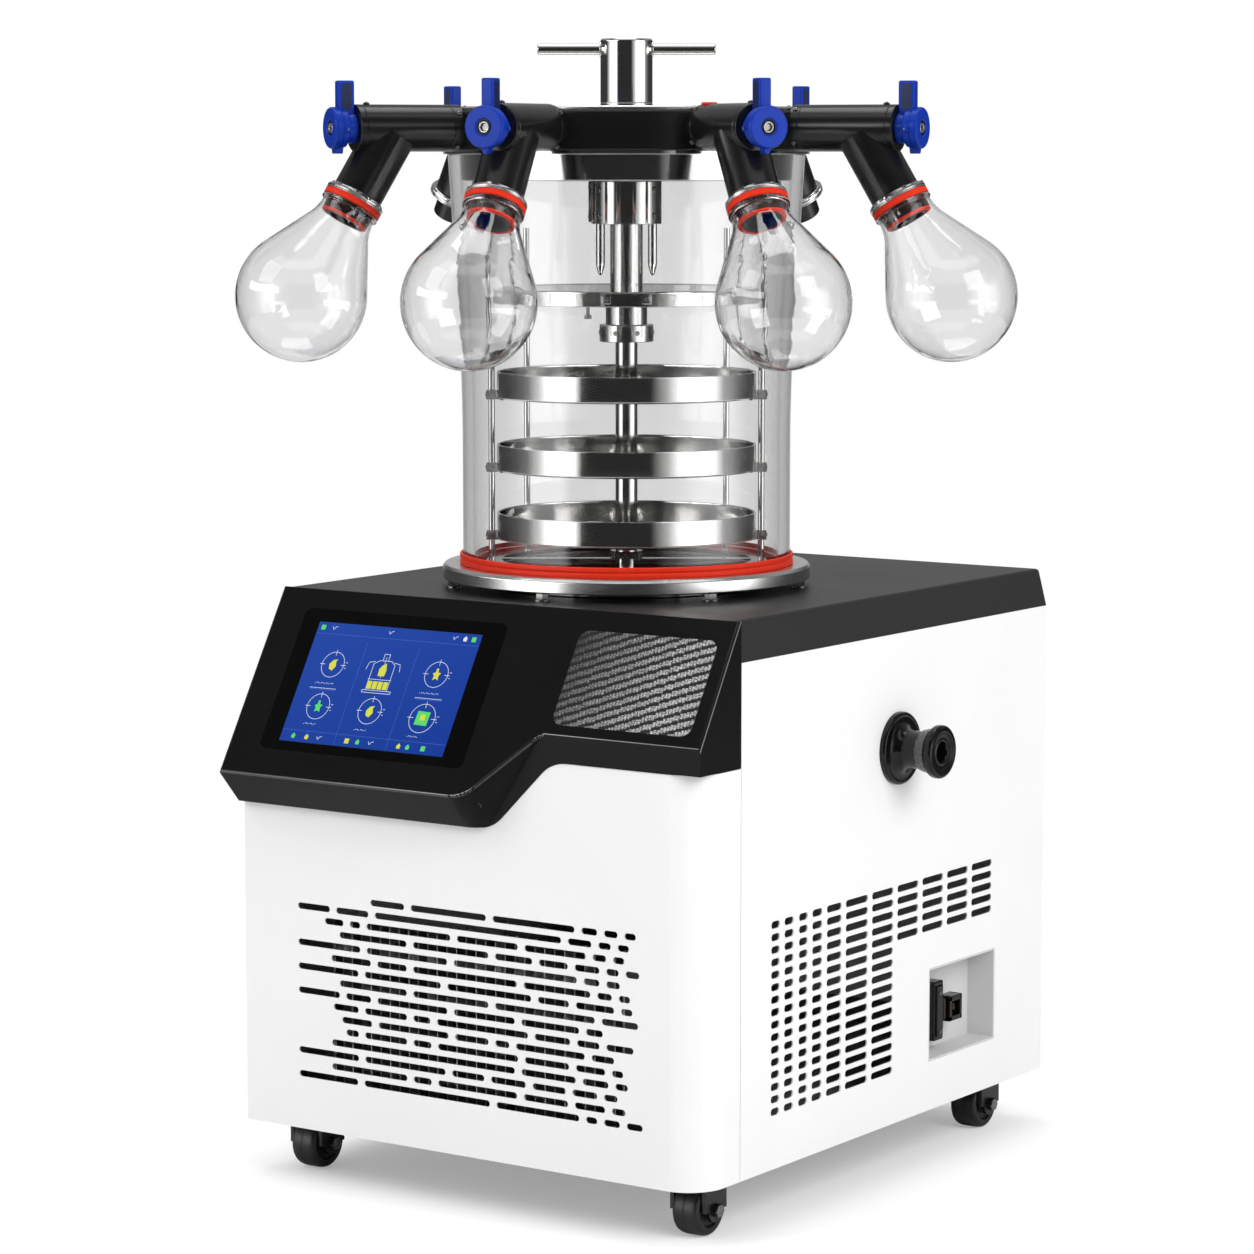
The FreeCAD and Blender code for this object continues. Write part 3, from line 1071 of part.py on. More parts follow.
def caster_fork(name, x, y, swivel_y):
    """Swivelling fork: round head, two legs with eyes, and the axle with its nuts."""
    head_z = "2*wheel_radius + 2*fork_gap"
    plate_z = "pan_z - caster_plate"
    half = "(wheel_width/2 + fork_gap)"
    outside = f"({half} + fork_leg)"
    pieces = [rod(f"head_{name}", "fork_head", f"{plate_z} - head_gap - ({head_z})", x, swivel_y, head_z)]
    for side, start in (("left", f"{x} - {outside}"), ("right", f"{x} + {half}")):
        pieces.append(box(f"leg_{side}_{name}", "fork_leg", "fork_side",
                          f"{plate_z} - fork_leg - wheel_radius", start, f"{y} - fork_side/2",
                          "wheel_radius"))
        pieces.append(along_x(f"eye_{side}_{name}", "fork_eye", "fork_leg", start, y, "wheel_radius"))
        nut_x = f"{x} + {outside} - nut_sink" if side == "right" else f"{x} - {outside} - nut_height_out"
        pieces.append(along_x(f"nut_{side}_{name}", "nut_radius", "nut_height_out + nut_sink", nut_x, y,
                              "wheel_radius"))
    pieces.append(along_x(f"axle_{name}", "axle_radius", f"2*({outside} + axle_spare)",
                          f"{x} - {outside} - axle_spare", y, "wheel_radius"))
    bore = rod(f"head_bore_{name}", "caster_stem + running_gap", "pan_z", x, swivel_y, "1.8*wheel_radius")
    return cut(f"fork_{name}", fuse(f"fork_solid_{name}", *pieces), bore)


def caster_wheel(name, x, y):
    """Plain black wheel on its axle."""
    tyre = along_x(f"tyre_{name}", "wheel_radius", "wheel_width", f"{x} - wheel_width/2", y, "wheel_radius")
    bore = along_x(f"tyre_bore_{name}", "axle_radius + running_gap", "2*wheel_width", f"{x} - wheel_width", y,
                   "wheel_radius")
    return cut(f"wheel_{name}", tyre, bore)


def casters():
    """Four swivelling casters, the front ones trailing forwards and the rear ones backwards."""
    plates = []
    for row, y, trail in (("front", "caster_front_inset - cabinet_depth/2", "+ caster_trail"),
                          ("rear", "cabinet_depth/2 - caster_rear_inset", "- caster_trail")):
        for hand, x in (("left", "caster_side_inset - cabinet_width/2"),
                        ("right", "cabinet_width/2 - caster_side_inset")):
            name = f"{row}_{hand}"
            swivel_y = f"{y} {trail}"
            plates.append(caster_plate(name, x, swivel_y))
            node(f"caster_fork_{name}", caster_fork(name, x, y, swivel_y))
            node(f"caster_wheel_{name}", caster_wheel(name, x, y))
    node("caster_plates", group("plates", *plates))


# ---- all pieces ----------------------------------------------------------------------------------

base_pan()
front_panel()
right_panel()
node("left_panel", side_panel("left_panel", -1))
rear_panel()
top_cover()
cabinet_frame()
console()
power_recess()
vacuum_port()
cold_trap()
evaporator_coil()
compressor()
condenser()
fan()
control_board()
flange()
chamber()
manifold_ring()
press_hub()
press_handle()
press_plate()
rack()
trays()
port_arm()
valve_knobs()
flasks()
neck_rings_and_seals()
casters()

doc.recompute()
faults = [thing.Label for thing in doc.Objects if "Invalid" in thing.State or "Error" in thing.State]
faults += [label for label, thing in parts.items() if thing.Shape.isNull() or not thing.Shape.isValid()]
if faults:
    raise RuntimeError(f"these failed: {faults}")
os.makedirs("parts", exist_ok=True)
for label, thing in parts.items():
    thing.Shape.exportStep(f"parts/{label}.step")
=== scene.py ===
"""Looks of a manifold freeze dryer, built on its fixed frame as an add-on."""
import functools
import json
import math

import bmesh
import bpy
from mathutils import Matrix, Vector


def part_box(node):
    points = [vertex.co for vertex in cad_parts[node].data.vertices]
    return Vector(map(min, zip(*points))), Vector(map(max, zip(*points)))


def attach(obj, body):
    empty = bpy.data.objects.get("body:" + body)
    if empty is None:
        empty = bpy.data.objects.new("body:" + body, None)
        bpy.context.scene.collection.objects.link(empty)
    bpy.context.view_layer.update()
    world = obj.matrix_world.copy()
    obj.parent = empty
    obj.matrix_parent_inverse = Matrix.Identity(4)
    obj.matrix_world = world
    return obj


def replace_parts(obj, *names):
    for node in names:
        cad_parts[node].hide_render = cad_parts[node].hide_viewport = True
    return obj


bl_info = {
    "name": "Freeze dryer",
    "version": (1, 0, 0),
    "blender": (4, 5, 0),
    "location": "3D View > Sidebar > Freeze dryer",
    "description": "Dresses a bench freeze dryer: cabinet, chamber, press, manifold, flasks and casters",
    "category": "Add Mesh",
}

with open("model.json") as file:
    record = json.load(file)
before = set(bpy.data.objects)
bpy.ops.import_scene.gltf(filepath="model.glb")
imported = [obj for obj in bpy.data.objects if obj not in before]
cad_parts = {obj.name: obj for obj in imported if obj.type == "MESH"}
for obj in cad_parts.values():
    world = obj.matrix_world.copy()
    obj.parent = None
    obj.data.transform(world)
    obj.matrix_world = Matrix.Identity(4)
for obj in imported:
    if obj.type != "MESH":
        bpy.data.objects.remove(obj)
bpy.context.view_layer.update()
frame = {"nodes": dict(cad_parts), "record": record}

MM = 0.001
FINE = 192  # steps round a large turned shape
FLASKS = 4  # the first ports carry a flask
NODES = frame["nodes"]
BODY_OF = {node: body for body, nodes in frame["record"]["behaviour"]["bodies"].items() for node in nodes}
SLOT_OF = {part["node"]: part["material_slot"] for part in frame["record"]["subparts"]}
CORNERS = ("front_left", "front_right", "rear_left", "rear_right")


# ---- places ---------------------------------------------------------------------------------------

def at(x=0.0, y=0.0, z=0.0, toward=(0, 0, 1), turn=0.0, within=Matrix()):
    """A place in millimetres within another: local Z points toward, and the rest is turned about it."""
    out = Vector(toward).normalized()
    side = Vector((0, 0, 1)).cross(out).normalized() if abs(out.z) < 0.999 else Vector((1, 0, 0))
    lean = Matrix((side, out.cross(side), out)).transposed().to_4x4()
    spot = Matrix.Translation(Vector((x, y, z)) * MM)
    return within @ spot @ lean @ Matrix.Rotation(math.radians(turn), 4, "Z")


def middle(node):
    """The middle of a frame node, in millimetres."""
    low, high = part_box(node)
    return (low + high) / 2 / MM


CHAMBER_Y = middle("base_flange").y
CHAMBER = at(0, CHAMBER_Y, 0, turn=-55.5)
PORT_TURNS = (-66, -25, 25, 66, 142, -142)
PORTS = [CHAMBER @ at(turn=angle) for angle in PORT_TURNS]
ARM_Z = 803
BRANCH_LEAN = math.radians(31)
BRANCHES = [at(190, 0, ARM_Z, (math.sin(BRANCH_LEAN), 0, -math.cos(BRANCH_LEAN)), within=port) for port in PORTS]
TILT = math.radians(30.8)
SLOPE = at(0, -202, 452, (0, -math.cos(TILT), math.sin(TILT)))


# ---- shapes ---------------------------------------------------------------------------------------

def placed(form, place):
    """Faces point outwards, and the shape goes to its place."""
    bmesh.ops.recalc_face_normals(form, faces=form.faces)
    if place is not None:
        bmesh.ops.transform(form, matrix=place, verts=form.verts)
    return form


def eased(form, edges, edge, steps=2):
    """Rounds the chosen edges of a shape."""
    bmesh.ops.bevel(form, geom=edges, offset=edge * MM, offset_type="OFFSET", segments=steps, profile=0.5,
                    affect="EDGES", material=-1, clamp_overlap=True)


def outlined(points, standing=False):
    """A face through corners of (x, y, rounding, steps) in millimetres, flat or standing to be turned."""
    form = bmesh.new()
    corners = [form.verts.new((p[0] * MM, 0, p[1] * MM) if standing else (p[0] * MM, p[1] * MM, 0))
               for p in points]
    form.faces.new(corners)
    for corner, point in zip(corners, points):
        if len(point) > 2:
            bmesh.ops.bevel(form, geom=[corner], offset=point[2] * MM, offset_type="OFFSET",
                            segments=point[3] if len(point) > 3 else 3, profile=0.5, affect="VERTICES",
                            material=-1, clamp_overlap=True)
    return form


def lathe(points, place=None, steps=96):
    """A turned shape from its half outline of (radius, height, rounding, steps) in millimetres."""
    form = outlined(points, standing=True)
    bmesh.ops.delete(form, geom=form.faces[:], context="FACES_ONLY")
    on_axis = [e for e in form.edges if all(abs(v.co.x) < 1e-7 for v in e.verts)]
    bmesh.ops.delete(form, geom=on_axis, context="EDGES")
    bmesh.ops.spin(form, geom=form.verts[:] + form.edges[:], cent=(0, 0, 0), axis=(0, 0, 1),
                   angle=math.tau, steps=steps, use_merge=True)
    bmesh.ops.remove_doubles(form, verts=form.verts, dist=1e-6)
    return placed(form, place)


def turned(points, steps=FINE):
    """A turned shape about the chamber's axis."""
    return lathe(points, CHAMBER, steps)


def pressed(points, depth, place=None, edge=0.0, steps=2):
    """A plate of a flat outline, depth thick along Z, with its rims eased."""
    form = outlined(points)
    grown = bmesh.ops.extrude_face_region(form, geom=form.faces[:])["geom"]
    bmesh.ops.translate(form, vec=(0, 0, depth * MM), verts=[v for v in grown if isinstance(v, bmesh.types.BMVert)])
    if edge:
        bmesh.ops.recalc_face_normals(form, faces=form.faces)
        eased(form, [e for e in form.edges if abs(e.verts[0].co.z - e.verts[1].co.z) < 1e-7], edge, steps)
    return placed(form, place)


def block(low, high, place=None, edge=0.4, steps=2):
    """A box between two corners in millimetres, with its edges eased."""
    form = bmesh.new()
    bmesh.ops.create_cube(form, size=1)
    low, high = Vector(low) * MM, Vector(high) * MM
    grown = Matrix.Translation((low + high) / 2) @ Matrix.Diagonal((*(high - low), 1))
    bmesh.ops.transform(form, matrix=grown, verts=form.verts)
    if edge:
        eased(form, form.edges[:], edge, steps)
    return placed(form, place)


def rod(radius, length, place=None, edge=0.3, steps=24):
    """A round bar along local Z from the place, with eased ends."""
    return lathe([(0, 0), (radius, 0, edge), (radius, length, edge), (0, length)], place, steps)


def hexagon(radius, depth, place=None, edge=0.25):
    """A six-sided bar or nut, measured to its corners."""
    corners = [(radius * math.cos(i * math.tau / 6), radius * math.sin(i * math.tau / 6)) for i in range(6)]
    return pressed(corners, depth, place, edge)


def cap_screw(radius, height, place, steps=20):
    """A round screw head with a socket, standing on the place."""
    return lathe([(0, 0), (radius, 0), (radius, height, radius * 0.25), (radius * 0.5, height, radius * 0.06),
                  (radius * 0.45, height * 0.4), (0, height * 0.35)], place, steps)


def copied(node):
    """A copy of a frame node's shape, with its triangles merged."""
    form = bmesh.new()
    form.from_mesh(NODES[node].data)
    bmesh.ops.remove_doubles(form, verts=form.verts, dist=1e-6)
    return form


class Piece:
    """One piece in the making: shapes in their finishes, then an object on its body."""

    def __init__(self, name, finish):
        self.name = name
        self.finishes = [finish]
        self.form = bmesh.new()

    def add(self, shape, finish=None):
        """Joins a shape to the piece, in its main finish or in another."""
        finish = finish or self.finishes[0]
        if finish not in self.finishes:
            self.finishes.append(finish)
        for face in shape.faces:
            face.material_index = self.finishes.index(finish)
        mesh = bpy.data.meshes.new("shape")
        shape.to_mesh(mesh)
        shape.free()
        self.form.from_mesh(mesh)
        bpy.data.meshes.remove(mesh)
        return self

    def tint(self, finish, narrow):
        """Puts another finish on the narrow faces of roundings."""
        self.finishes.append(finish)
        for face in self.form.faces:
            bent = [edge for edge in face.edges if edge.calc_face_angle(0) > 0.05]
            if (min(edge.calc_length() for edge in face.edges) < narrow * MM
                    and (len(bent) > 1 or any(edge.calc_length() > 3 * MM for edge in bent))):
                face.material_index = len(self.finishes) - 1
        return self

    def rest_on(self, body, slot, ease=0.0, crease=35, rim=None):
        """Makes the object, smooth up to the crease angle, its eased rims in a finish, on its body."""
        if rim:
            self.finishes.append(rim)
        mesh = bpy.data.meshes.new(self.name)
        self.form.to_mesh(mesh)
        self.form.free()
        for finish in self.finishes:
            mesh.materials.append(finish)
        mesh.shade_smooth()
        mesh.set_sharp_from_angle(angle=math.radians(crease))
        piece = bpy.data.objects.new(self.name, mesh)
        bpy.context.collection.objects.link(piece)
        if ease:
            rounding = piece.modifiers.new("Rounding", "BEVEL")
            rounding.width = ease * MM
            rounding.segments = 2 if ease < 1 else 3
            rounding.limit_method = "ANGLE"
            rounding.angle_limit = math.radians(crease)
            rounding.material = len(self.finishes) - 1 if rim else -1
        shading = piece.modifiers.new("Shading", "WEIGHTED_NORMAL")
        shading.keep_sharp = True
        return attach(piece, body)

    def replace(self, *nodes, ease=0.0, crease=35, rim=None):
        """Makes the object in place of frame nodes, on their body."""
        piece = self.rest_on(BODY_OF[nodes[0]], SLOT_OF[nodes[0]], ease, crease, rim)
        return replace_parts(piece, *nodes)


def redress(finish, *nodes):
    """Gives frame nodes whose shape stays a better finish."""
    for node in nodes:
        for slot in NODES[node].material_slots:
            slot.material = finish


# ---- shader sums ----------------------------------------------------------------------------------

class Value:
    """A socket of a finish that takes part in sums, which add their Math nodes."""

    def __init__(self, finish, socket):
        self.finish = finish
        self.socket = socket

    def sum(self, operation, *others):
        """One Math node on this value and others."""
        return self.finish.node("ShaderNodeMath", dict(enumerate((self, *others))), operation=operation)

    def __add__(self, other):
        return self.sum("ADD", other)

    def __sub__(self, other):
        return self.sum("SUBTRACT", other)

    def __rsub__(self, other):
        return self.finish.node("ShaderNodeMath", {0: other, 1: self}, operation="SUBTRACT")

    def __mul__(self, other):
        return self.sum("MULTIPLY", other)

    def __truediv__(self, other):
        return self.sum("DIVIDE", other)

    def __gt__(self, other):
        return self.sum("GREATER_THAN", other)

    def __lt__(self, other):
        return self.sum("LESS_THAN", other)

    __radd__ = __add__
    __rmul__ = __mul__


class Finish:
    """A procedural material in the making: its shader and the nodes in front of it."""

    def __init__(self, name, tree=None):
        if tree is None:
            self.material = bpy.data.materials.new(name)
            self.material.use_nodes = True
            tree = self.material.node_tree
            self.shader = tree.nodes["Principled BSDF"]
        self.tree = tree

    def feed(self, socket, value):
        """Links a value to a socket, or sets a constant on it."""
        if isinstance(value, Value):
            self.tree.links.new(value.socket, socket)
        else:
            socket.default_value = value

    def node(self, kind, inputs=None, output=0, stops=(), **settings):
        """One node: its settings first, then its sockets' values or links."""
        made = self.tree.nodes.new(kind)
        for name, value in settings.items():
            setattr(made, name, value)
        if stops:
            while len(made.color_ramp.elements) < len(stops):
                made.color_ramp.elements.new(1.0)
            for stop, (position, colour) in zip(made.color_ramp.elements, stops):
                stop.position = position
                stop.color = colour if isinstance(colour, tuple) else (colour, colour, colour, 1)
        for key, value in (inputs or {}).items():
            self.feed(made.inputs[key], value)
        return Value(self, made.outputs[output])

    def surface(self, values):
        """Sets the shader's own sockets."""
        for name, value in values.items():
            self.feed(self.shader.inputs[name], value)
        return self

    def place(self):
        """Object coordinates, in metres."""
        return self.node("ShaderNodeTexCoord", output="Object")

    def axes(self, vector=None):
        """The three parts of a vector."""
        made = self.node("ShaderNodeSeparateXYZ", {0: vector or self.place()}).socket.node
        return [Value(self, made.outputs[i]) for i in range(3)]

    def noise(self, scale, detail=3.0, vector=None, roughness=0.5):
        """Soft noise from 0 to 1."""
        return self.node("ShaderNodeTexNoise", {"Vector": vector or self.place(), "Scale": scale,
                                                "Detail": detail, "Roughness": roughness})

    def between(self, value, low, high, start=0.0, end=1.0):
        """A value from start to end carried to low to high."""
        return self.node("ShaderNodeMapRange", {0: value, 1: start, 2: end, 3: low, 4: high})

    def mix(self, factor, first, second):
        """A colour between two."""
        return self.node("ShaderNodeMix", {0: factor, 6: first, 7: second}, output=2, data_type="RGBA")

    def bump(self, height, distance, strength=1.0):
        """A normal from a height, with its depth in millimetres."""
        return self.node("ShaderNodeBump", {"Strength": strength, "Distance": distance * MM, "Height": height})


def grey(level):
    """A grey of one brightness."""
    return level, level, level, 1


def shade(colour, factor):
    """A colour with its brightness times a factor."""
    return (*[part * factor for part in colour[:3]], 1)


def finish(maker):
    """A finish is made the first time that it is asked for."""
    @functools.cache
    def ask():
        return maker(Finish(maker.__name__)).material
    return ask


def mottled(name, scale, detail, first, second, gloss, bump=None, **sockets):
    """A finish whose colour and roughness follow one soft noise, with an optional bump from it."""
    def maker(f):
        cloud = f.noise(scale, detail)
        values = {socket.replace("_", " "): value for socket, value in sockets.items()}
        if bump:
            values["Normal"] = f.bump(cloud, *bump)
        return f.surface({"Base Color": f.mix(cloud, first, second), "Roughness": f.between(cloud, *gloss),
                          **values})
    maker.__name__ = name
    return finish(maker)


# ---- finishes -------------------------------------------------------------------------------------

def powder_coat(f, colour, rough, peel):
    """Baked powder paint: orange peel, fine grain and slightly uneven gloss."""
    grain = f.noise(2600, 2)
    soft = f.noise(14, 2)
    wave = f.noise(520, 2)
    f.surface({"Base Color": f.mix(grain * 0.3 + soft * 0.7, shade(colour, 0.96), shade(colour, 1.03)),
               "Roughness": f.between(soft * 0.5 + grain * 0.5, rough - 0.05, rough + 0.07),
               "Normal": f.bump(wave * 0.7 + grain * 0.3, peel)})
    return f


@finish
def white_powder(f):
    return powder_coat(f, bpy.context.scene.dryer_cabinet.panel_colour, 0.42, 0.012)


@finish
def black_powder(f):
    return powder_coat(f, bpy.context.scene.dryer_cabinet.cover_colour, 0.43, 0.03)


@finish
def console_plastic(f):
    """Moulded black plastic with a fine spark texture."""
    spark = f.noise(3200, 2)
    soft = f.noise(22, 2)
    tone = bpy.context.scene.dryer_console.bezel_colour
    return f.surface({"Base Color": f.mix(soft, shade(tone, 0.85), shade(tone, 1.15)),
                      "Roughness": f.between(spark * 0.6 + soft * 0.4, 0.28, 0.4),
                      "Normal": f.bump(spark, 0.008), "Specular IOR Level": 0.1})


@finish
def console_rim_highlight(f):
    """The console's rounded rims: a glossier coated copy of the bezel plastic that catches highlight lines, its
    colour a little lighter as a faint painted highlight.
    """
    soft = f.noise(30, 2)
    tone = bpy.context.scene.dryer_console.bezel_colour
    return f.surface({"Base Color": f.mix(soft, shade(tone, 0.9), shade(tone, 1.2)),
                      "Roughness": f.between(soft, 0.14, 0.2), "Coat Weight": 1.0, "Coat Roughness": 0.08})


@finish
def frame_steel(f):
    """Painted grey steel of the frame and the base pan."""
    return powder_coat(f, (0.16, 0.165, 0.17, 1), 0.5, 0.02)


@finish
def recess_white(f):
    return powder_coat(f, grey(0.62), 0.46, 0.012)


# glossy black glass with faint smears
pane_glass = mottled("pane_glass", 26, 4, grey(0.001), grey(0.003), (0.05, 0.13), Specular_IOR_Level=0.15)


@finish
def display(f):
    """The lit panel: deep blue, a little lighter towards its upper left, in fine rows of dots."""
    x, _, z = f.axes()
    blue = bpy.context.scene.dryer_console.display_colour
    glow = f.between(z * 1.6 - x * 0.8, 0.0, 1.0, 0.5, 0.82)
    rows = (z * 2600).sum("SINE") * 0.03
    lit = f.mix(glow + rows, shade(blue, 0.86), (blue[0] * 1.8 + 0.006, blue[1] * 1.55, blue[2] * 1.12, 1))
    return f.surface({"Base Color": (0.002, 0.004, 0.02, 1), "Roughness": 0.12, "Specular IOR Level": 0.15,
                      "Emission Color": lit, "Emission Strength": 0.9})


def lit_ink(f, colour):
    """One lit colour of the display's lines."""
    fleck = f.noise(900, 1)
    return f.surface({"Base Color": grey(0.01), "Roughness": 0.2, "Emission Strength": 1.0,
                      "Emission Color": f.mix(fleck, shade(colour, 0.8), shade(colour, 1.1))})


@finish
def white_line(f):
    return lit_ink(f, (0.72, 0.8, 0.92, 1))


@finish
def faint_line(f):
    return lit_ink(f, (0.05, 0.12, 0.5, 1))


@finish
def yellow_mark(f):
    return lit_ink(f, (0.72, 0.74, 0.05, 1))


@finish
def green_mark(f):
    return lit_ink(f, (0.1, 0.7, 0.16, 1))


@finish
def twill(f):
    """Silver-black woven twill: ragged threads stepping up to the right, with a painted reflection that lightens it
    towards the right and painted highlights on single threads.
    """
    x, y, z = f.axes()
    up = z * math.cos(TILT) + y * math.sin(TILT)
    pitch = bpy.context.scene.dryer_console.twill_pitch
    thread = x * (1 / pitch)
    column = thread.sum("FLOOR")
    uneven = f.node("ShaderNodeTexWhiteNoise", {"W": column}, noise_dimensions="1D")
    float_along = ((up - column * (pitch * 0.4)) * (1 / 0.0072) + uneven * 0.16).sum("FRACT")
    ragged = f.noise(1100, 3)
    over = f.between(float_along + ragged * 0.34, 0.0, 1.0, 0.56, 0.68)
    # each thread lighter in its middle and darker at its sides: painted shade across a round thread, also used as its
    # bump height
    rounded = (thread.sum("FRACT") * math.pi).sum("SINE")
    # painted reflection: the weave lighter towards the right and the lower edge
    painted_sheen_gradient = f.between(x - up * 0.35, 0.06, 1.0, -0.015, 0.095)
    # painted highlights on single threads, from the ragged noise
    painted_glint = f.between(ragged, 0.12, 1.5, 0.38, 0.68)
    # weave pattern times the painted shade, the painted reflection and the painted highlights
    weave_with_painted_light = over * (rounded * 0.6 + 0.4) * painted_sheen_gradient * painted_glint
    return f.surface({"Base Color": f.mix(weave_with_painted_light, grey(0.009), (0.62, 0.62, 0.61, 1)),
                      "Metallic": 0.3, "Roughness": f.between(ragged, 0.34, 0.55),
                      "Normal": f.bump(over * rounded, 0.12, 0.5)})


def around_chamber(f):
    """Coordinates round the chamber's upright axis: radius, height and a slow turn."""
    x, y, z = f.axes()
    back = y - CHAMBER_Y * MM
    radius = (x * x + back * back).sum("SQRT")
    turn = x.sum("ARCTAN2", back)
    return f.node("ShaderNodeCombineXYZ", {0: radius, 1: z, 2: turn * 0.012})


def steel(f, low, high, grain=700):
    """Stainless steel with its grain round the chamber's axis."""
    tone = bpy.context.scene.dryer_chamber.steel_colour
    lines = f.noise(grain, 3, around_chamber(f), 0.6)
    cloud = f.noise(18, 2)
    return f.surface({"Base Color": f.mix(lines * 0.6 + cloud * 0.4, shade(tone, 0.93), shade(tone, 1.04)),
                      "Metallic": 1.0, "Roughness": f.between(lines * 0.7 + cloud * 0.3, low, high),
                      "Normal": f.bump(lines, 0.0012, 0.5)})


@finish
def turned_steel(f):
    """Brushed steel of the trays and the press plate."""
    return steel(f, 0.05, 0.11)


@finish
def satin_steel(f):
    """Duller steel of the flange and the lid."""
    return steel(f, 0.2, 0.3)


@finish
def bright_steel(f):
    """Polished steel with faint rings from turning."""
    return steel(f, 0.05, 0.13)


# polished plating with light smudges
chrome = mottled("chrome", 60, 4, (0.54, 0.54, 0.53, 1), (0.64, 0.64, 0.63, 1), (0.04, 0.13), Metallic=1.0)
# zinc-plated fasteners, greyish with fine spangle
zinc = mottled("zinc", 900, 3, (0.17, 0.17, 0.165, 1), (0.32, 0.32, 0.31, 1), (0.2, 0.38), (0.01,), Metallic=1.0)
# dull brass of the inlet's pins
brass = mottled("brass", 700, 3, (0.3, 0.2, 0.1, 1), (0.62, 0.52, 0.36, 1), (0.22, 0.42), Metallic=1.0)
# hard glossy black plastic of the vacuum port and the inlet
gloss_black = mottled("gloss_black", 90, 2, grey(0.002), grey(0.004), (0.12, 0.2), (0.01, 0.3),
                      Specular_IOR_Level=0.34)
# smoky band of the vacuum port
grey_band = mottled("grey_band", 300, 2, grey(0.05), grey(0.085), (0.2, 0.34))
# brownish plastic between the inlet's parts
smoky_link = mottled("smoky_link", 240, 2, (0.03, 0.02, 0.016, 1), (0.09, 0.065, 0.05, 1), (0.1, 0.24))
# middle of a red flask seal, inside the glass neck, painted near black as the shade inside the neck
sleeve_dark = mottled("sleeve_dark", 200, 2, (0.006, 0.003, 0.002, 1), (0.02, 0.006, 0.004, 1), (0.2, 0.32))
# the levers' side panels: the lever blue painted much darker, as painted shade on the sunken sides
dark_blue = mottled("dark_blue", 1200, 2, (0.001, 0.005, 0.03, 1), (0.002, 0.01, 0.06, 1), (0.4, 0.55))
# black tread rubber with a matt grain
tyre_rubber = mottled("tyre_rubber", 1500, 3, grey(0.003), grey(0.006), (0.36, 0.54), (0.03,))
# black nylon of the casters' forks and of the fan
caster_black = mottled("caster_black", 900, 2, grey(0.003), grey(0.006), (0.24, 0.38), (0.015,))
# tinned copper of the evaporator
copper = mottled("copper", 70, 4, (0.48, 0.2, 0.1, 1), (0.72, 0.38, 0.24, 1), (0.2, 0.42), Metallic=1.0)


@finish
def satin_black(f):
    """Black satin coating of the ring and the port arms, with fine rub lines."""
    x, y, z = f.axes()
    streaks = f.noise(40, 3, f.node("ShaderNodeCombineXYZ", {0: x, 1: y, 2: z * 3}))
    fine = f.noise(2400, 1)
    tone = bpy.context.scene.dryer_manifold.arm_colour
    return f.surface({"Base Color": f.mix(streaks, shade(tone, 0.8), shade(tone, 1.5)),
                      "Roughness": f.between(streaks * 0.6 + fine * 0.4, 0.2, 0.28), "Specular IOR Level": 0.4,
                      "Normal": f.bump(fine, 0.0006)})


@finish
def seal_rubber(f):
    """Orange-red silicone rubber, slightly blotched."""
    tone = bpy.context.scene.dryer_chamber.rubber_colour
    blotch = f.noise(120, 3)
    return f.surface({"Base Color": f.mix(blotch, shade(tone, 0.86), shade(tone, 1.12)),
                      "Roughness": f.between(blotch, 0.3, 0.44), "Specular IOR Level": 0.25,
                      "Normal": f.bump(blotch, 0.03, 0.3)})


def see_through(f, colour, ior, ripple, size):
    """Clear wall that bends what is behind it and lets the lamps through."""
    wave = f.noise(size, 2)
    f.surface({"Base Color": colour, "Roughness": 0.0, "IOR": ior, "Transmission Weight": 1.0,
               "Normal": f.bump(wave, ripple)})
    clear = f.node("ShaderNodeBsdfTransparent", {0: shade(colour, 0.97)})
    lamp_ray = f.node("ShaderNodeLightPath", output="Is Shadow Ray")
    both = f.node("ShaderNodeMixShader", {0: lamp_ray, 1: Value(f, f.shader.outputs[0]), 2: clear})
    f.feed(f.tree.nodes["Material Output"].inputs["Surface"], both)
    return f


@finish
def chamber_acrylic(f):
    return see_through(f, bpy.context.scene.dryer_chamber.wall_colour, 1.45, 0.05, 9)


@finish
def flask_glass(f):
    return see_through(f, bpy.context.scene.dryer_flasks.glass_colour, 1.46, 0.4, 42)


@finish
def blue_plastic(f):
    """Royal blue moulded plastic of the valve levers."""
    tone = bpy.context.scene.dryer_manifold.lever_colour
    fine = f.noise(1200, 2)
    soft = f.noise(40, 2)
    return f.surface({"Base Color": f.mix(soft, shade(tone, 0.85), shade(tone, 1.1)),
                      "Roughness": f.between(fine * 0.5 + soft * 0.5, 0.26, 0.38), "Specular IOR Level": 0.22,
                      "Normal": f.bump(fine, 0.006)})


@finish
def foam_black(f):
    """Closed-cell insulation foam."""
    cells = f.node("ShaderNodeTexVoronoi", {"Vector": f.place(), "Scale": 420.0})
    return f.surface({"Base Color": f.mix(cells, grey(0.03), grey(0.014)),
                      "Roughness": 0.85, "Normal": f.bump(cells, 0.3)})


@finish
def compressor_paint(f):
    return powder_coat(f, (0.012, 0.012, 0.013, 1), 0.36, 0.05)


@finish
def fin_stock(f):
    """Aluminium fin stock in close upright lines: light edges with the gaps between them painted dark as shade."""
    x, _, _ = f.axes()
    fin_lines_and_gap_shade = (x * 3100).sum("SINE") * 0.5 + 0.5
    return f.surface({"Base Color": f.mix(fin_lines_and_gap_shade, (0.2, 0.2, 0.2, 1), (0.66, 0.67, 0.68, 1)), "Metallic": 1.0,
                      "Roughness": f.between(fin_lines_and_gap_shade, 0.5, 0.3), "Normal": f.bump(fin_lines_and_gap_shade, 0.4)})


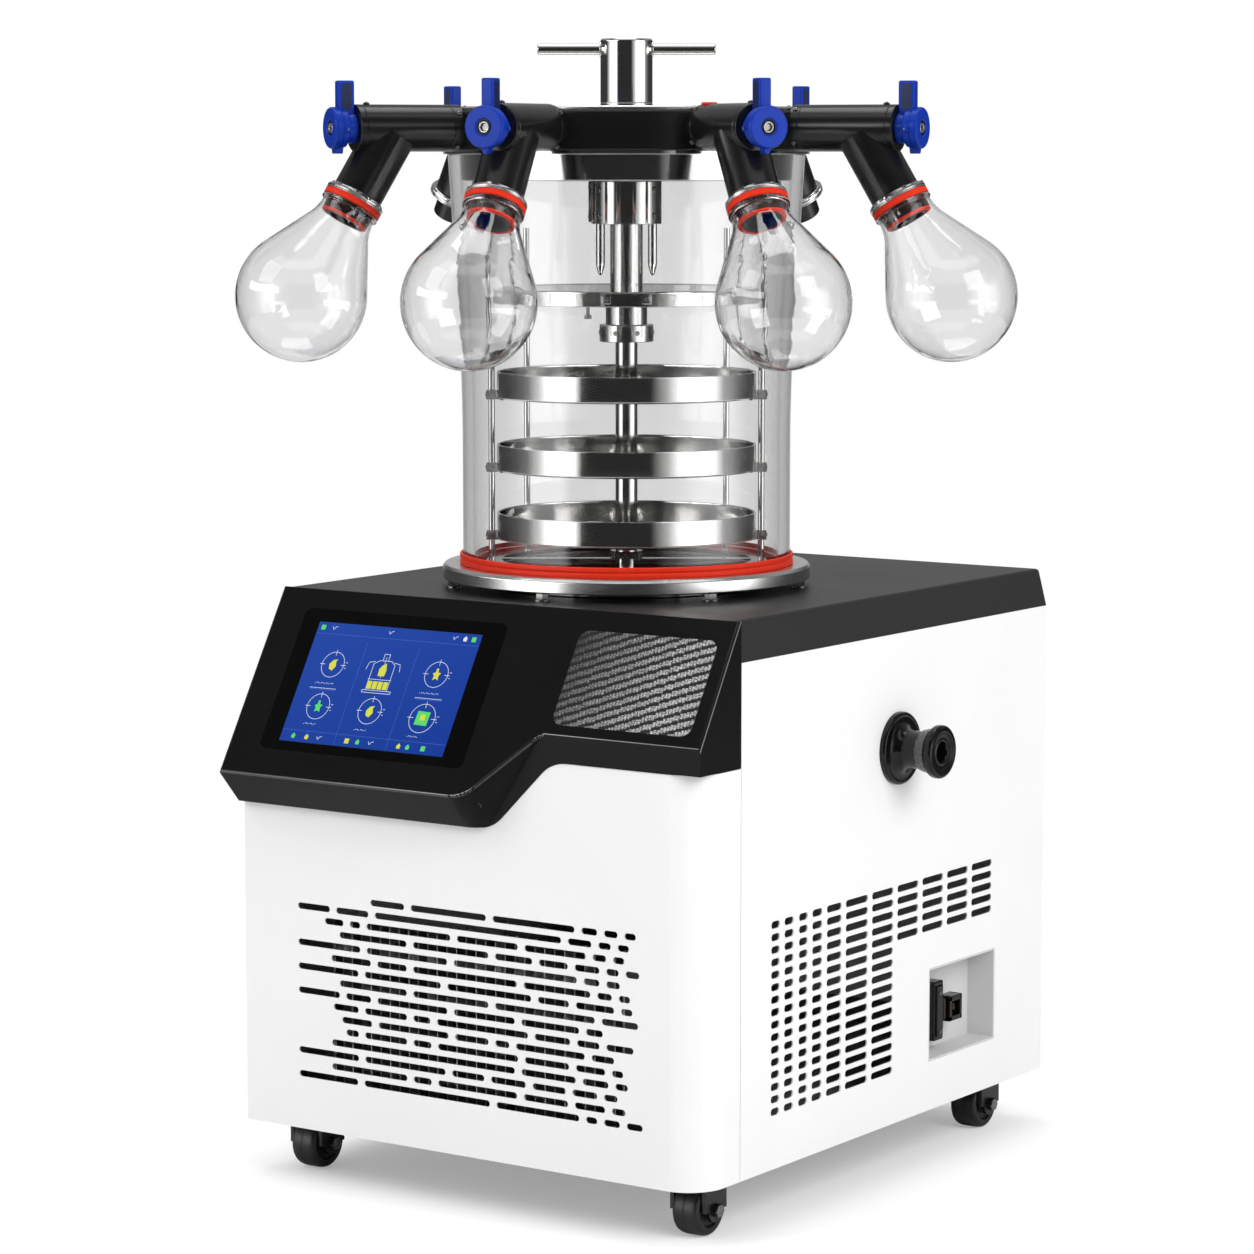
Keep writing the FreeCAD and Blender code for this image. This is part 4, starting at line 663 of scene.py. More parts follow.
@finish
def motor_paint(f):
    return powder_coat(f, (0.2, 0.2, 0.21, 1), 0.45, 0.03)


@finish
def circuit_green(f):
    """Printed board: lacquer over faint tracks."""
    _, y, z = f.axes()
    tracks = ((y * 900).sum("SINE") * (z * 700).sum("SINE")) > 0.55
    return f.surface({"Base Color": f.mix(tracks, (0.006, 0.07, 0.025, 1), (0.02, 0.16, 0.06, 1)),
                      "Roughness": f.between(tracks, 0.3, 0.4), "Coat Weight": 0.3})


# ---- settings -------------------------------------------------------------------------------------

def colour(name, description, value):
    """A colour setting."""
    return bpy.props.FloatVectorProperty(name=name, description=description, default=value, size=4,
                                         subtype="COLOR", min=0.0, max=1.0)


def length(name, description, value):
    """A length setting, in metres."""
    return bpy.props.FloatProperty(name=name, description=description, default=value, unit="LENGTH", min=0.0)


class DryerCabinet(bpy.types.PropertyGroup):
    """Cabinet colours and edges."""
    panel_colour: colour("Panels", "Colour of the painted panels", grey(0.82))
    cover_colour: colour("Cover", "Colour of the top cover", grey(0.016))
    panel_edge: length("Edge rounding", "Rounding of the sheet edges", 0.0004)


class DryerConsole(bpy.types.PropertyGroup):
    """Console, screen and trim."""
    bezel_colour: colour("Bezel", "Colour of the console moulding", grey(0.0045))
    display_colour: colour("Display", "Main colour of the lit display", (0.007, 0.045, 0.35, 1))
    twill_pitch: length("Twill thread", "Width of one thread of the trim's weave", 0.0026)
    line_width: length("Display line", "Width of the display's thin lines", 0.00042)


class DryerChamber(bpy.types.PropertyGroup):
    """Chamber, press and trays."""
    steel_colour: colour("Steel", "Colour of the stainless parts", (0.72, 0.715, 0.705, 1))
    rubber_colour: colour("Rubber", "Colour of gasket and flask seals", (0.62, 0.022, 0.004, 1))
    wall_colour: colour("Clear wall", "Tint of the clear cylinder", grey(0.86))


class DryerManifold(bpy.types.PropertyGroup):
    """Manifold ring, arms and levers."""
    arm_colour: colour("Arms", "Colour of the ring and the port arms", grey(0.005))
    lever_colour: colour("Levers", "Colour of the valve levers", (0.001, 0.027, 0.3, 1))


class DryerFlasks(bpy.types.PropertyGroup):
    """Drying flasks."""
    glass_colour: colour("Glass", "Tint of the flasks", grey(0.9))
    bulb: length("Bulb radius", "Outer radius of a flask's bulb", 0.049)
    wall: length("Wall", "Thickness of a flask's wall", 0.0018)


class DryerStudio(bpy.types.PropertyGroup):
    """Camera, lamps and floor."""
    turn: bpy.props.FloatProperty(name="Turn", description="Camera's turn from the front", subtype="ANGLE",
                                  default=math.radians(34.54))
    pitch: bpy.props.FloatProperty(name="Pitch", description="Camera's tilt down", subtype="ANGLE",
                                   default=math.radians(6.69))
    place: bpy.props.FloatVectorProperty(name="Place", description="Camera's place", subtype="TRANSLATION",
                                         default=(1.7803, -2.6258, 0.7869))
    lens: bpy.props.FloatProperty(name="Lens", description="Focal length in millimetres on a 36 mm frame",
                                  default=116.8)
    ambient: bpy.props.FloatProperty(name="Ambient", description="Even light from all round", default=0.72)
    floor_colour: colour("Floor", "Colour of the floor", grey(0.72))


# ---- pieces ---------------------------------------------------------------------------------------

class DRYER_OT_cabinet(bpy.types.Operator):
    """Painted panels, top cover, base pan and frame"""
    bl_idname = "dryer.cabinet"
    bl_label = "Cabinet"

    def execute(self, context):
        edge = context.scene.dryer_cabinet.panel_edge / MM
        for node, name, ease in (("front_panel", "front_sheet", edge), ("right_panel", "right_sheet", 0),
                                 ("left_panel", "left_sheet", edge), ("rear_panel", "rear_sheet", edge)):
            Piece(name, white_powder()).add(copied(node)).replace(node, ease=ease)
        Piece("cover_shell", black_powder()).add(copied("top_cover")).replace("top_cover", ease=1.0)
        redress(frame_steel(), "base_pan", "cabinet_frame")
        return {"FINISHED"}


class DRYER_OT_console(bpy.types.Operator):
    """Sloping console with its touch screen and woven trim"""
    bl_idname = "dryer.console"
    bl_label = "Console"

    LEFT, TOP, WIDTH, HEIGHT = -163.0, -26.7, 154.5, 99.3
    LIFT, PANEL = 0.02, 0.04  # the display over the glass, and its thickness

    def spot(self, u, v):
        """A point of the display, from its upper left corner."""
        return self.LEFT + u * self.WIDTH, self.TOP - v * self.HEIGHT

    def line(self, ink, start, end, width=1.0, depth=0.05):
        """A straight stroke between two points of the display."""
        a, b = Vector((*start, 0)), Vector((*end, 0))
        along = (b - a).normalized()
        side = Vector((-along.y, along.x, 0)) * self.stroke * width / 2
        corners = [a - side, b - side, b + side, a + side]
        self.lines.add(pressed([c[:2] for c in corners], depth, self.glass), ink)

    def chain(self, ink, *points, width=1.0):
        """Strokes from point to point."""
        for start, end in zip(points, points[1:]):
            self.line(ink, start, end, width)

    def ring(self, ink, x, y, radius, width=1.0):
        """A round line."""
        half = self.stroke * width / 2
        outline = [(radius - half, 0), (radius + half, 0), (radius + half, 0.05), (radius - half, 0.05)]
        self.lines.add(lathe(outline, self.glass @ at(x, y), 40), ink)

    def mark(self, ink, x, y, *corners):
        """A filled mark from corners about its middle."""
        self.lines.add(pressed([(x + a, y + b) for a, b in corners], 0.06, self.glass), ink)

    def ticks(self, ink, x, y, count, step=1.5, tall=0.9):
        """A row of short upright dashes of uneven height."""
        for i in range(count):
            low = -tall / 2 + 0.25 * ((i * 5) % 3)
            self.line(ink, (x + i * step, y + low), (x + i * step, y + low + tall * (0.6 + 0.2 * (i % 3))), 1.3)

    def gauge(self, x, y, radius, ink, corners):
        """A round dial with four arms and a mark in its middle."""
        self.ring(white_line(), x, y, radius)
        self.mark(ink, x, y, *corners)
        for a, b in ((1, 0), (-1, 0), (0, 1)):
            self.line(white_line(), (x + a * radius * 0.72, y + b * radius * 0.72),
                      (x + a * radius * 1.18, y + b * radius * 1.18))
        self.line(white_line(), (x + radius * 1.12, y + 2.4), (x + radius * 1.3, y + 2.4))
        self.line(white_line(), (x + radius * 1.12, y - 2.2), (x + radius * 1.26, y - 2.2))

    def machine_drawing(self, x, y):
        """A small line drawing of a jar on its base."""
        white = white_line()
        self.chain(white, (x - 13, y - 14.5), (x + 14, y - 14.5), (x + 14, y - 12.5), (x - 13, y - 12.5),
                   (x - 13, y - 14.5))
        self.chain(white, (x - 10, y - 12.5), (x - 10, y + 9), (x - 5, y + 12), (x + 6, y + 12), (x + 10, y + 9),
                   (x + 10, y - 12.5))
        self.chain(white, (x - 2.6, y + 12), (x - 2.6, y + 17.5), (x + 2.6, y + 17.5), (x + 2.6, y + 12))
        self.chain(white, (x - 16, y + 4), (x - 14.5, y + 10), (x - 9, y + 11))
        self.chain(white, (x + 16, y + 4), (x + 14.5, y + 10), (x + 9, y + 11))
        self.line(white, (x - 11, y - 3.5), (x + 11, y - 3.5))
        for side in (-8, -3, 2, 7):
            self.mark(yellow_mark(), x + side, y - 8, (-2, -3.4), (2.2, -3.4), (2.2, 3), (-2, 3))
        self.mark(yellow_mark(), x, y + 4, (-3, -4.5), (3, -4.5), (3.6, 0), (2, 6), (-1.5, 4), (-3.4, 1))
        self.line(white, (x, y - 2), (x, y + 15), 0.8)

    def execute(self, context):
        look = context.scene.dryer_console
        self.stroke = look.line_width / MM
        shell = Piece("console_shell", console_plastic()).add(copied("console_bezel"))
        # the narrow faces of the roundings get the rim finish, a little lighter as a faint painted highlight
        shell.tint(console_rim_highlight(), 0.9).replace("console_bezel", ease=0.5)
        Piece("trim_panel", twill()).add(copied("trim_insert")).replace("trim_insert", ease=0.5, rim=console_rim_highlight())

        screen = Piece("screen_pane", pane_glass()).add(copied("touch_screen"))
        right, bottom = self.spot(1, 1)
        corners = [(self.LEFT, bottom), (right, bottom), (right, self.TOP), (self.LEFT, self.TOP)]
        screen.add(pressed(corners, self.PANEL, SLOPE @ at(0, 0, self.LIFT)), display())
        screen.replace("touch_screen", ease=0.5, rim=console_rim_highlight())

        self.glass = SLOPE @ at(0, 0, self.LIFT + self.PANEL)
        self.lines = Piece("display_lines", white_line())
        leaf = ((-2.6, -3.6), (0.6, -5), (3.2, -1.2), (2.2, 2.6), (3.4, 4.6), (-0.6, 3.8), (-3.4, 0.4))
        figure = ((-2.4, -4.6), (0, -3.2), (2.6, -4.4), (2.2, -0.6), (3.8, 1.4), (1, 2), (0.8, 5), (-1, 5),
                  (-1.2, 2), (-3.6, 0.6), (-2, -0.8))
        for u, v, ink, corners in ((0.169, 0.346, yellow_mark(), leaf), (0.807, 0.352, yellow_mark(), figure),
                                   (0.167, 0.697, green_mark(), figure), (0.486, 0.696, yellow_mark(), leaf)):
            self.gauge(*self.spot(u, v), 10.4, ink, corners)
        x, y = self.spot(0.809, 0.712)
        self.gauge(x, y, 11.6, green_mark(), ((-6, -5.4), (5.6, -5.8), (6.2, 5.4), (-5.4, 5.8)))
        self.mark(yellow_mark(), x, y + 0.8, (-2.4, -2.6), (2.6, -2.4), (2.2, 2.6), (-2, 2.2))
        self.machine_drawing(*self.spot(0.48, 0.4))
        for u, v, count in ((0.10, 0.505, 12), (0.745, 0.51, 12), (0.115, 0.845, 8), (0.43, 0.855, 8),
                            (0.755, 0.865, 7)):
            self.ticks(white_line(), *self.spot(u, v), count)
        for u, v in ((0.075, 0.545), (0.725, 0.55)):
            x, y = self.spot(u, v)
            self.line(white_line(), (x, y), (x + 25, y), 0.9)
            self.line(faint_line(), (x, y - 1), (x + 25, y - 1), 1.4)
        for u in (0.335, 0.655):
            self.line(faint_line(), self.spot(u, 0.14), self.spot(u, 0.99), 0.7)
        for v in (0.095, 0.905):
            self.line(faint_line(), self.spot(0.004, v), self.spot(0.996, v), 0.8)
        square = ((-2, -2), (2, -2), (2, 2), (-2, 2))
        drop = ((-1.6, -1.8), (1.4, -2), (1.8, 0.6), (0, 2.4), (-1.8, 0.4))
        for u, v, ink, corners in ((0.034, 0.045, green_mark(), square), (0.907, 0.045, white_line(), drop),
                                   (0.958, 0.045, green_mark(), square), (0.078, 0.952, green_mark(), drop),
                                   (0.160, 0.952, yellow_mark(), drop), (0.409, 0.952, yellow_mark(), square),
                                   (0.475, 0.952, green_mark(), drop), (0.725, 0.952, yellow_mark(), drop),
                                   (0.779, 0.952, green_mark(), drop), (0.872, 0.952, green_mark(), square)):
            self.mark(ink, *self.spot(u, v), *corners)
        for u, v in ((0.107, 0.045), (0.457, 0.045), (0.848, 0.045), (0.237, 0.952), (0.556, 0.952)):
            x, y = self.spot(u, v)
            self.chain(white_line(), (x - 2.4, y + 1.2), (x - 1, y - 1.2), (x + 0.6, y + 1), (x + 2.4, y + 1.4))
        self.lines.rest_on(BODY_OF["touch_screen"], SLOT_OF["touch_screen"])
        return {"FINISHED"}


class DRYER_OT_services(bpy.types.Operator):
    """Power recess with its inlet, and the vacuum port"""
    bl_idname = "dryer.services"
    bl_label = "Power and vacuum"

    def inlet(self):
        """Two-level inlet block with a tab, a stepped end, a link and a square socket."""
        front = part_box("power_inlet")[1].x / MM
        back = 186.2
        y, z = 98, 89
        inlet = Piece("inlet_body", gloss_black())
        inlet.add(block((back, y, z + 1), (back + 12.5, y + 14, z + 48.4), edge=1.2, steps=3))
        inlet.add(block((back + 11, y + 2, z + 4), (back + 14, y + 11.5, z + 45), edge=0.9))
        inlet.add(block((back, y + 12, z + 5), (back + 10, y + 16, z + 41), edge=0.8))
        inlet.add(block((back, y + 10, z + 9), (back + 11.5, y + 16, z + 20), edge=0.6))
        inlet.add(block((back, y - 3.2, z + 12), (back + 6, y + 1, z + 31), edge=0.7))
        inlet.add(block((back, y - 3.2, z + 29), (back + 4, y + 4, z + 33), edge=0.5))
        for height in (8, 39):
            inlet.add(cap_screw(1.6, 1.0, at(back + 13.8, y + 6.6, z + height, (1, 0, 0))), zinc())
        inlet.add(block((back - 12, y + 1.2, z + 5.2), (back + 1, y + 14.8, z + 43.8), edge=0.6))
        inlet.add(block((back + 4, y + 15, z + 16), (back + 13, y + 23, z + 33), edge=0.8), smoky_link())
        left, right, bottom, top = y + 16.5, y + 36, z + 14.5, z + 34.5
        for a, b in (((left, bottom), (right, bottom + 4.4)), ((left, top - 4.4), (right, top)),
                     ((left, bottom), (left + 4.2, top)), ((right - 3.4, bottom), (right, top))):
            inlet.add(block((back + 5, *a), (front, *b), edge=0.7))
        inlet.add(block((back + 4, left + 1, bottom + 1), (back + 8, right - 1, top - 1), edge=0.3))
        for side in (-2, 2):
            inlet.add(block((back + 7, (left + right) / 2 + side - 0.4, bottom + 7.5),
                            (back + 14, (left + right) / 2 + side + 0.4, bottom + 12.5), edge=0.15), brass())
        inlet.replace("power_inlet")

    def execute(self, context):
        Piece("recess_box", recess_white()).add(copied("power_recess")).replace("power_recess", ease=0.3)
        self.inlet()
        port = middle("vacuum_port")
        place = at(210, port.y, port.z, (1, 0, 0))
        body = Piece("port_body", gloss_black())
        body.add(lathe([
            (7.5, -12), (14.5, -12), (14.5, 0), (28, 0), (28, 3.4, 0.8), (26.6, 4.9, 0.8), (25.2, 4.9, 0.3),
            (24.4, 4.2, 0.3), (20.2, 4.4, 1.0), (16.6, 7.2, 2.4, 5), (14.5, 12.5, 2.5, 5), (14.5, 22), (15, 22, 0.3),
            (15.6, 23.2, 0.3), (17.6, 31.4, 0.3), (19.4, 32.6, 0.3), (20.4, 34, 0.6),
            (20.4, 38.6, 1.2, 4), (18.4, 40, 0.4), (15.6, 40, 0.4), (15, 39.3, 0.3), (13.5, 39.3, 0.3),
            (12.9, 38.6, 0.3), (10.6, 38.4, 0.4), (9.6, 39, 0.3), (8.3, 38.8, 0.5), (7.5, 37, 0.5)], place))
        body.add(lathe([(14.6, 22.6), (15.7, 22.6, 0.2), (17.9, 31.2, 0.2), (14.6, 31.2)], place), grey_band())
        for angle, height in ((-92, 0.0), (-80, 0.0), (-122, 0.4)):
            out = at(turn=angle, within=place)
            body.add(cap_screw(1.3, 1.5, at(16.2, 0, 28 + height, (1, 0, 0), within=out), 14), chrome())
        body.replace("vacuum_port")
        return {"FINISHED"}


class DRYER_OT_machine(bpy.types.Operator):
    """Cold trap and the refrigerating parts inside the cabinet"""
    bl_idname = "dryer.machine"
    bl_label = "Inside the cabinet"

    def execute(self, context):
        for node, coat in (("cold_trap", bright_steel), ("trap_insulation", foam_black),
                           ("evaporator_coil", copper), ("compressor", compressor_paint),
                           ("condenser", fin_stock), ("fan_motor", motor_paint),
                           ("condenser_fan", caster_black), ("control_board", circuit_green)):
            redress(coat(), node)
        return {"FINISHED"}


class DRYER_OT_flange(bpy.types.Operator):
    """Base flange with its screw feet, and the red gasket"""
    bl_idname = "dryer.flange"
    bl_label = "Base flange"

    def execute(self, context):
        flange = Piece("flange_disc", satin_steel())
        flange.add(turned([(98, 458.5), (142.3, 458.5, 1.2), (142.3, 467.4, 0.5), (140.4, 470, 0.8),
                           (131.5, 470, 0.3), (131, 469.5, 0.3), (98, 469.5, 0.8)]))
        flange.replace("base_flange")
        feet = Piece("flange_feet", zinc())
        for angle in (-80, -28, 28, 80, 150, -150):
            out = CHAMBER @ at(turn=angle) @ at(134.3, 0, 452)
            feet.add(lathe([(0, 0), (6.3, 0, 0.2), (6.3, 1.5, 0.3), (0, 1.5)], out, 32))
            feet.add(hexagon(5, 4.4, out @ at(0, 0, 1.5, turn=angle), 0.4))
            feet.add(lathe([(0, 0), (3.4, 0), (3.4, 6.5), (0, 6.5)], out, 20))
        feet.replace("flange_screws")
        gasket = Piece("gasket_ring", seal_rubber())
        gasket.add(turned([(116.5, 469.6), (129, 469.6, 0.6), (129, 472.8, 0.9), (128.1, 473.6, 0.3),
                           (129, 474.4, 0.9), (129, 478, 1.1), (126.9, 478, 0.6), (126.8, 474.5),
                           (116.5, 474.5, 0.6)]))
        gasket.replace("base_gasket")
        return {"FINISHED"}


class DRYER_OT_chamber(bpy.types.Operator):
    """Clear flared cylinder, its steel head, the black manifold ring and the lid"""
    bl_idname = "dryer.chamber"
    bl_label = "Chamber"

    def execute(self, context):
        wall = Piece("clear_cylinder", chamber_acrylic())
        wall.add(turned([(118, 474.5, 0.8), (126.5, 474.5, 0.8), (126.5, 612, 45, 10), (137, 784, 0.8),
                         (128.5, 784, 0.8), (118, 612, 45, 10)]))
        wall.replace("chamber_cylinder")
        head = Piece("head_plate", bright_steel())
        head.add(turned([(112, 764, 0.8), (126.6, 764, 1.2), (127.7, 783.6), (140.6, 783.6, 0.5),
                         (140.6, 786.4), (112, 786.4)]))
        head.replace("chamber_head")
        ring = Piece("ring_casting", satin_black())
        ring.add(turned([(112, 786.2), (140.2, 786.2, 0.6), (141, 787.4, 0.6), (141, 814.6, 0.8),
                         (139.8, 816.2, 0.6), (112, 816.2)]))
        ring.replace("manifold_ring")
        lid = Piece("lid_disc", satin_steel())
        lid.add(turned([(6.2, 816.2), (139, 816.2, 0.3), (139, 818.2, 0.6), (137.8, 819.2, 0.5),
                        (22.5, 819.2, 0.2), (22, 818.8, 0.2), (6.2, 818.8, 0.2)]))
        lid.replace("lid_plate")
        return {"FINISHED"}


class DRYER_OT_press(bpy.types.Operator):
    """Press: barrel with its cross bar and screw, hub with guide pins, tube, collar and plate"""
    bl_idname = "dryer.press"
    bl_label = "Press"

    def execute(self, context):
        barrel = Piece("handle_barrel", bright_steel())
        barrel.add(turned([(6, 819.5), (20, 819.5, 0.4), (20, 822, 0.2), (19.6, 822.4, 0.2), (20, 822.8, 0.2),
                           (20, 870, 0.8), (18.8, 871.2, 0.5), (7, 871.2, 0.4), (6.4, 869.6, 0.4), (0, 869.6),
                           (0, 858.8), (6, 858.8)], 128))
        for side in (-1, 1):
            barrel.add(lathe([(4.2, 0), (6, 0), (6, 1.2, 0.5), (4.2, 1.2)],
                             at(0, 19.3 * side, 863.2, (0, side, 0), within=CHAMBER), 32))
        barrel.replace("press_handle")
        bar = Piece("cross_bar", chrome())
        bar.add(rod(4.15, 136, at(0, -68, 863.2, (0, 1, 0), within=CHAMBER), 0.9, 48))
        bar.replace("handle_bar")
        screw = Piece("threaded_screw", bright_steel())
        teeth = [point for i in range(50) for point in ((5.2, 706.5 + 3 * i), (6, 707.6 + 3 * i), (6, 708.0 + 3 * i))]
        screw.add(turned([(0, 704.2), (5.2, 704.2, 0.8), *teeth, (5.2, 858.7), (0, 858.7)], 40))
        screw.replace("lead_screw")

        hub = Piece("hub_guide", bright_steel())
        hub.add(turned([(12.6, 730.5), (27, 730.5, 0.6), (27, 763.4, 0.8), (19, 764, 0.6, 2), (19, 812.2),
                        (33, 812.2, 0.4), (33, 816.2, 0.4), (6.1, 816.2), (6.1, 783.2), (12.6, 783.2)], 96))
        for side in (-20, 20):
            hub.add(lathe([(0, 691), (1.5, 692, 0.8), (3.5, 699, 2), (3.5, 731), (0, 731)],
                          CHAMBER @ at(0, side, 0), 32))
        for side in (-1, 1):
            for height in (737, 757):
                out = CHAMBER @ at(turn=side * 52)
                hub.add(cap_screw(2.2, 1.4, at(26.8, 0, height, (1, 0, 0), within=out)), zinc())
        out = CHAMBER @ at(turn=-74)
        hub.add(block((26.2, -3.5, 732), (29.4, 3.5, 763), out, 0.6))
        hub.add(cap_screw(1.5, 1.0, at(29.2, 0, 736, (1, 0, 0), within=out), 16), zinc())
        hub.add(cap_screw(1.5, 1.0, at(29.2, 0, 759, (1, 0, 0), within=out), 16), zinc())
        hub.replace("press_hub")

        tube = Piece("press_tube", bright_steel())
        tube.add(turned([(8.8, 640.4), (20.8, 640.4, 0.6), (20.8, 653.4, 0.6), (19.8, 654, 0.3), (16, 654),
                         (16, 669.6), (15.4, 670.4), (12.5, 670.4), (12.5, 779.4, 0.4), (11.6, 780.2),
                         (6.1, 780.2), (6.1, 760.2), (8.8, 760.2)], 96))
        for angle in (-24, 24, 96, 180, -96):
            out = CHAMBER @ at(turn=angle)
            tube.add(cap_screw(1.9, 0.8, at(20.6, 0, 647.4, (1, 0, 0), within=out)), zinc())
        tube.replace("press_spindle")

        plate = Piece("press_disc", turned_steel())
        plate.add(turned([(12.6, 670.6), (25, 670.4, 0.4), (25, 679.5), (97.6, 679.5), (97.6, 670.4, 0.5),
                          (100, 670.4, 0.6), (100, 681.2, 0.8), (98.8, 682, 0.5), (96.8, 681.4, 0.3),
                          (12.6, 681.4)]))
        for side in (-8.4, 8.4):
            out = CHAMBER @ at(turn=side)
            plate.add(block((99.4, -3.4, 672.8), (102.2, 3.4, 679.6), out, 0.7))
            plate.add(cap_screw(1.9, 1.1, at(102, 0, 676.2, (1, 0, 0), within=out)), zinc())
        plate.add(lathe([(0, 0), (2.6, 0, 0.4), (2.6, 3, 0.4), (1.4, 3), (1.4, 9), (0, 9)],
                        CHAMBER @ at(turn=-17.5) @ at(94, 0, 661.5), 20), zinc())
        plate.replace("press_plate")
        return {"FINISHED"}


class DRYER_OT_rack(bpy.types.Operator):
    """Welded rack and its three trays"""
    bl_idname = "dryer.rack"
    bl_label = "Tray rack"

    def execute(self, context):
        rack = Piece("rack_frame", bright_steel()).add(copied("tray_rack"))
        for angle in (-90, 90, -130, 130):
            out = CHAMBER @ at(turn=angle)
            for top in (509.5, 562, 618):
                height = top - 20 + 2.6
                rack.add(rod(3.5, 7.4, at(104.6, 0, height - 4.8, within=out), 0.5), zinc())
                rack.add(cap_screw(1.5, 1.2, at(108.5, 0, height - 1, (1, 0, 0), within=out), 14), zinc())
                rack.add(cap_screw(1.5, 1.0, at(96.5, 0, height - 4.6, (0, 0, -1), within=out), 14), zinc())
        rack.replace("tray_rack", ease=0.25)
        for i in (1, 2, 3):
            node = f"tray_{i}"
            floor, top = (corner.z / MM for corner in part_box(node))
            tray = Piece(f"round_tray_{i}", turned_steel())
            tray.add(turned([(10.5, floor, 0.5), (99, floor, 0), (100, floor + 1, 0.6), (100, top, 0.5),
                             (98.2, top, 0.5), (98, top - 1.5, 0.3), (98.8, top - 1.9, 0.2),
                             (98.8, floor + 2.4, 0.9), (97.4, floor + 1.2, 0.9), (12.6, floor + 1.2, 0.9),
                             (11.7, floor + 5, 0.3), (10.5, floor + 5, 0.3)]))
            tray.replace(node)
        return {"FINISHED"}


class DRYER_OT_arms(bpy.types.Operator):
    """Six black port arms, their root screws and bolt bumps"""
    bl_idname = "dryer.arms"
    bl_label = "Port arms"

    def execute(self, context):
        arms = Piece("arm_castings", satin_black())
        screws = Piece("arm_screws", zinc())
        for i, (port, branch) in enumerate(zip(PORTS, BRANCHES)):
            along = at(0, 0, ARM_Z, (1, 0, 0), within=port)
            arms.add(lathe([(11, 139.4), (17.5, 139.4), (17.5, 146.6, 0.2), (17.2, 147, 0.2),
                            (17.5, 147.4, 0.2), (17.5, 216.4, 0.2), (17.1, 216.9, 0.2), (17.5, 217.4, 0.2),
                            (17.5, 222, 0.8), (11, 222)], along, 72))
            arms.add(lathe([(11.5, 6), (19, 6), (19, 57.4, 0.5), (18.4, 58, 0.2), (15, 58), (15, 79.6, 0.4),
                            (14.4, 80, 0.2), (11.5, 80, 0.4)], branch, 72))
            arms.add(lathe([(5.1, 197.7), (17, 197.7), (17, 221), (5.1, 221)], along, 40))
            for angle in (0, 90, 180, 270):
                out = at(turn=angle + 38, within=along)
                screws.add(cap_screw(1.7, 1.5, at(17.2, 0, 143.2, (1, 0, 0), within=out), 16))
            for angle in (90, 270):
                out = at(turn=angle, within=along)
                screws.add(lathe([(0, 0), (2.4, 0, 0.2), (2.4, 1.6, 0.7), (0, 1.6)],
                                 at(17.2, 0, 212, (1, 0, 0), within=out), 20), caster_black())
                screws.add(cap_screw(1.1, 0.6, at(18.8, 0, 212, (1, 0, 0), within=out), 14))
            if i == 2:
                arms.add(block((142.5, -6, ARM_Z + 16.2), (150, 4, ARM_Z + 18.6), port, 0.8), seal_rubber())
        arms.replace("port_arms")
        screws.rest_on(BODY_OF["port_arms"], "stainless")
        return {"FINISHED"}


class DRYER_OT_valves(bpy.types.Operator):
    """Six blue valve levers with their plugs"""
    bl_idname = "dryer.valves"
    bl_label = "Valve levers"

    def execute(self, context):
        for i, port in enumerate(PORTS, 1):
            along = at(0, 0, ARM_Z, (1, 0, 0), within=port)
            knob = Piece(f"lever_{i}", blue_plastic())
            knob.add(lathe([(0, 220), (5, 220), (5, 222.3), (11.5, 222.3, 0.5), (11.5, 228.6),
                            (13.6, 229.3, 0.4), (14.6, 230, 0.5), (14.6, 234.6, 0.4), (15.5, 235.4, 0.4),
                            (15.5, 240, 0.6), (14.4, 241.3, 0.4), (6.6, 241.3, 0.5), (5.6, 240.2, 0.3),
                            (5.6, 237.3), (0, 237.3)], along, 64))
            knob.add(lathe([(4.6, 237.2), (5.6, 237.2), (5.6, 240.6, 0.2), (4.9, 240.6, 0.2)], along, 40),
                     gloss_black())
            knob.add(lathe([(0, 237.2), (4.5, 237.2), (4.5, 240.2, 0.5), (3.1, 240.2, 0.2), (2.6, 238.4),
                            (0, 238.2)], along, 6), zinc())
            knob.add(lathe([(3.2, 239.9), (4.1, 239.9), (3.9, 240.5, 0.2), (3.4, 240.5, 0.2)], along, 32), chrome())
            stem = at(0, 0, ARM_Z, within=port)
            knob.add(block((222.8, -4.75, 8), (235.3, 4.75, 35), stem, 1.4, 3))
            for side in (-1, 1):
                flat, ear = (sorted(side * y for y in pair) for pair in ((4.3, 4.95), (12.2, 15.2)))
                # side panels painted darker blue as shade
                knob.add(block((225.2, flat[0], 13), (233, flat[1], 32.6), stem, 0.25), dark_blue())
                knob.add(rod(2.2, 2.6, at(232, side * 13.8, -1, (0, side, 0), within=stem), 0.5, 20))
                knob.add(block((229.4, ear[0], -3.4), (235.2, ear[1], 3.2), stem, 0.7))
                knob.add(rod(0.8, 0.7, at(232, side * 16.2, -1, (0, side, 0), within=stem), 0.2, 12), zinc())
            knob.add(pressed([(-3.4, -13.6), (3.4, -13.6), (1.6, -19, 0.5), (-1.6, -19, 0.5)], 7.6,
                             at(0, 0, 231.2, within=along), 0.5))
            knob.add(lathe([(0, 169.4), (10.9, 169.4, 0.4), (10.9, 197.4, 0.4), (0, 197.4)], along, 40), zinc())
            knob.add(rod(5, 24, at(0, 0, 197, within=along), 0.2), zinc())
            knob.replace(f"valve_lever_{i}")
        return {"FINISHED"}


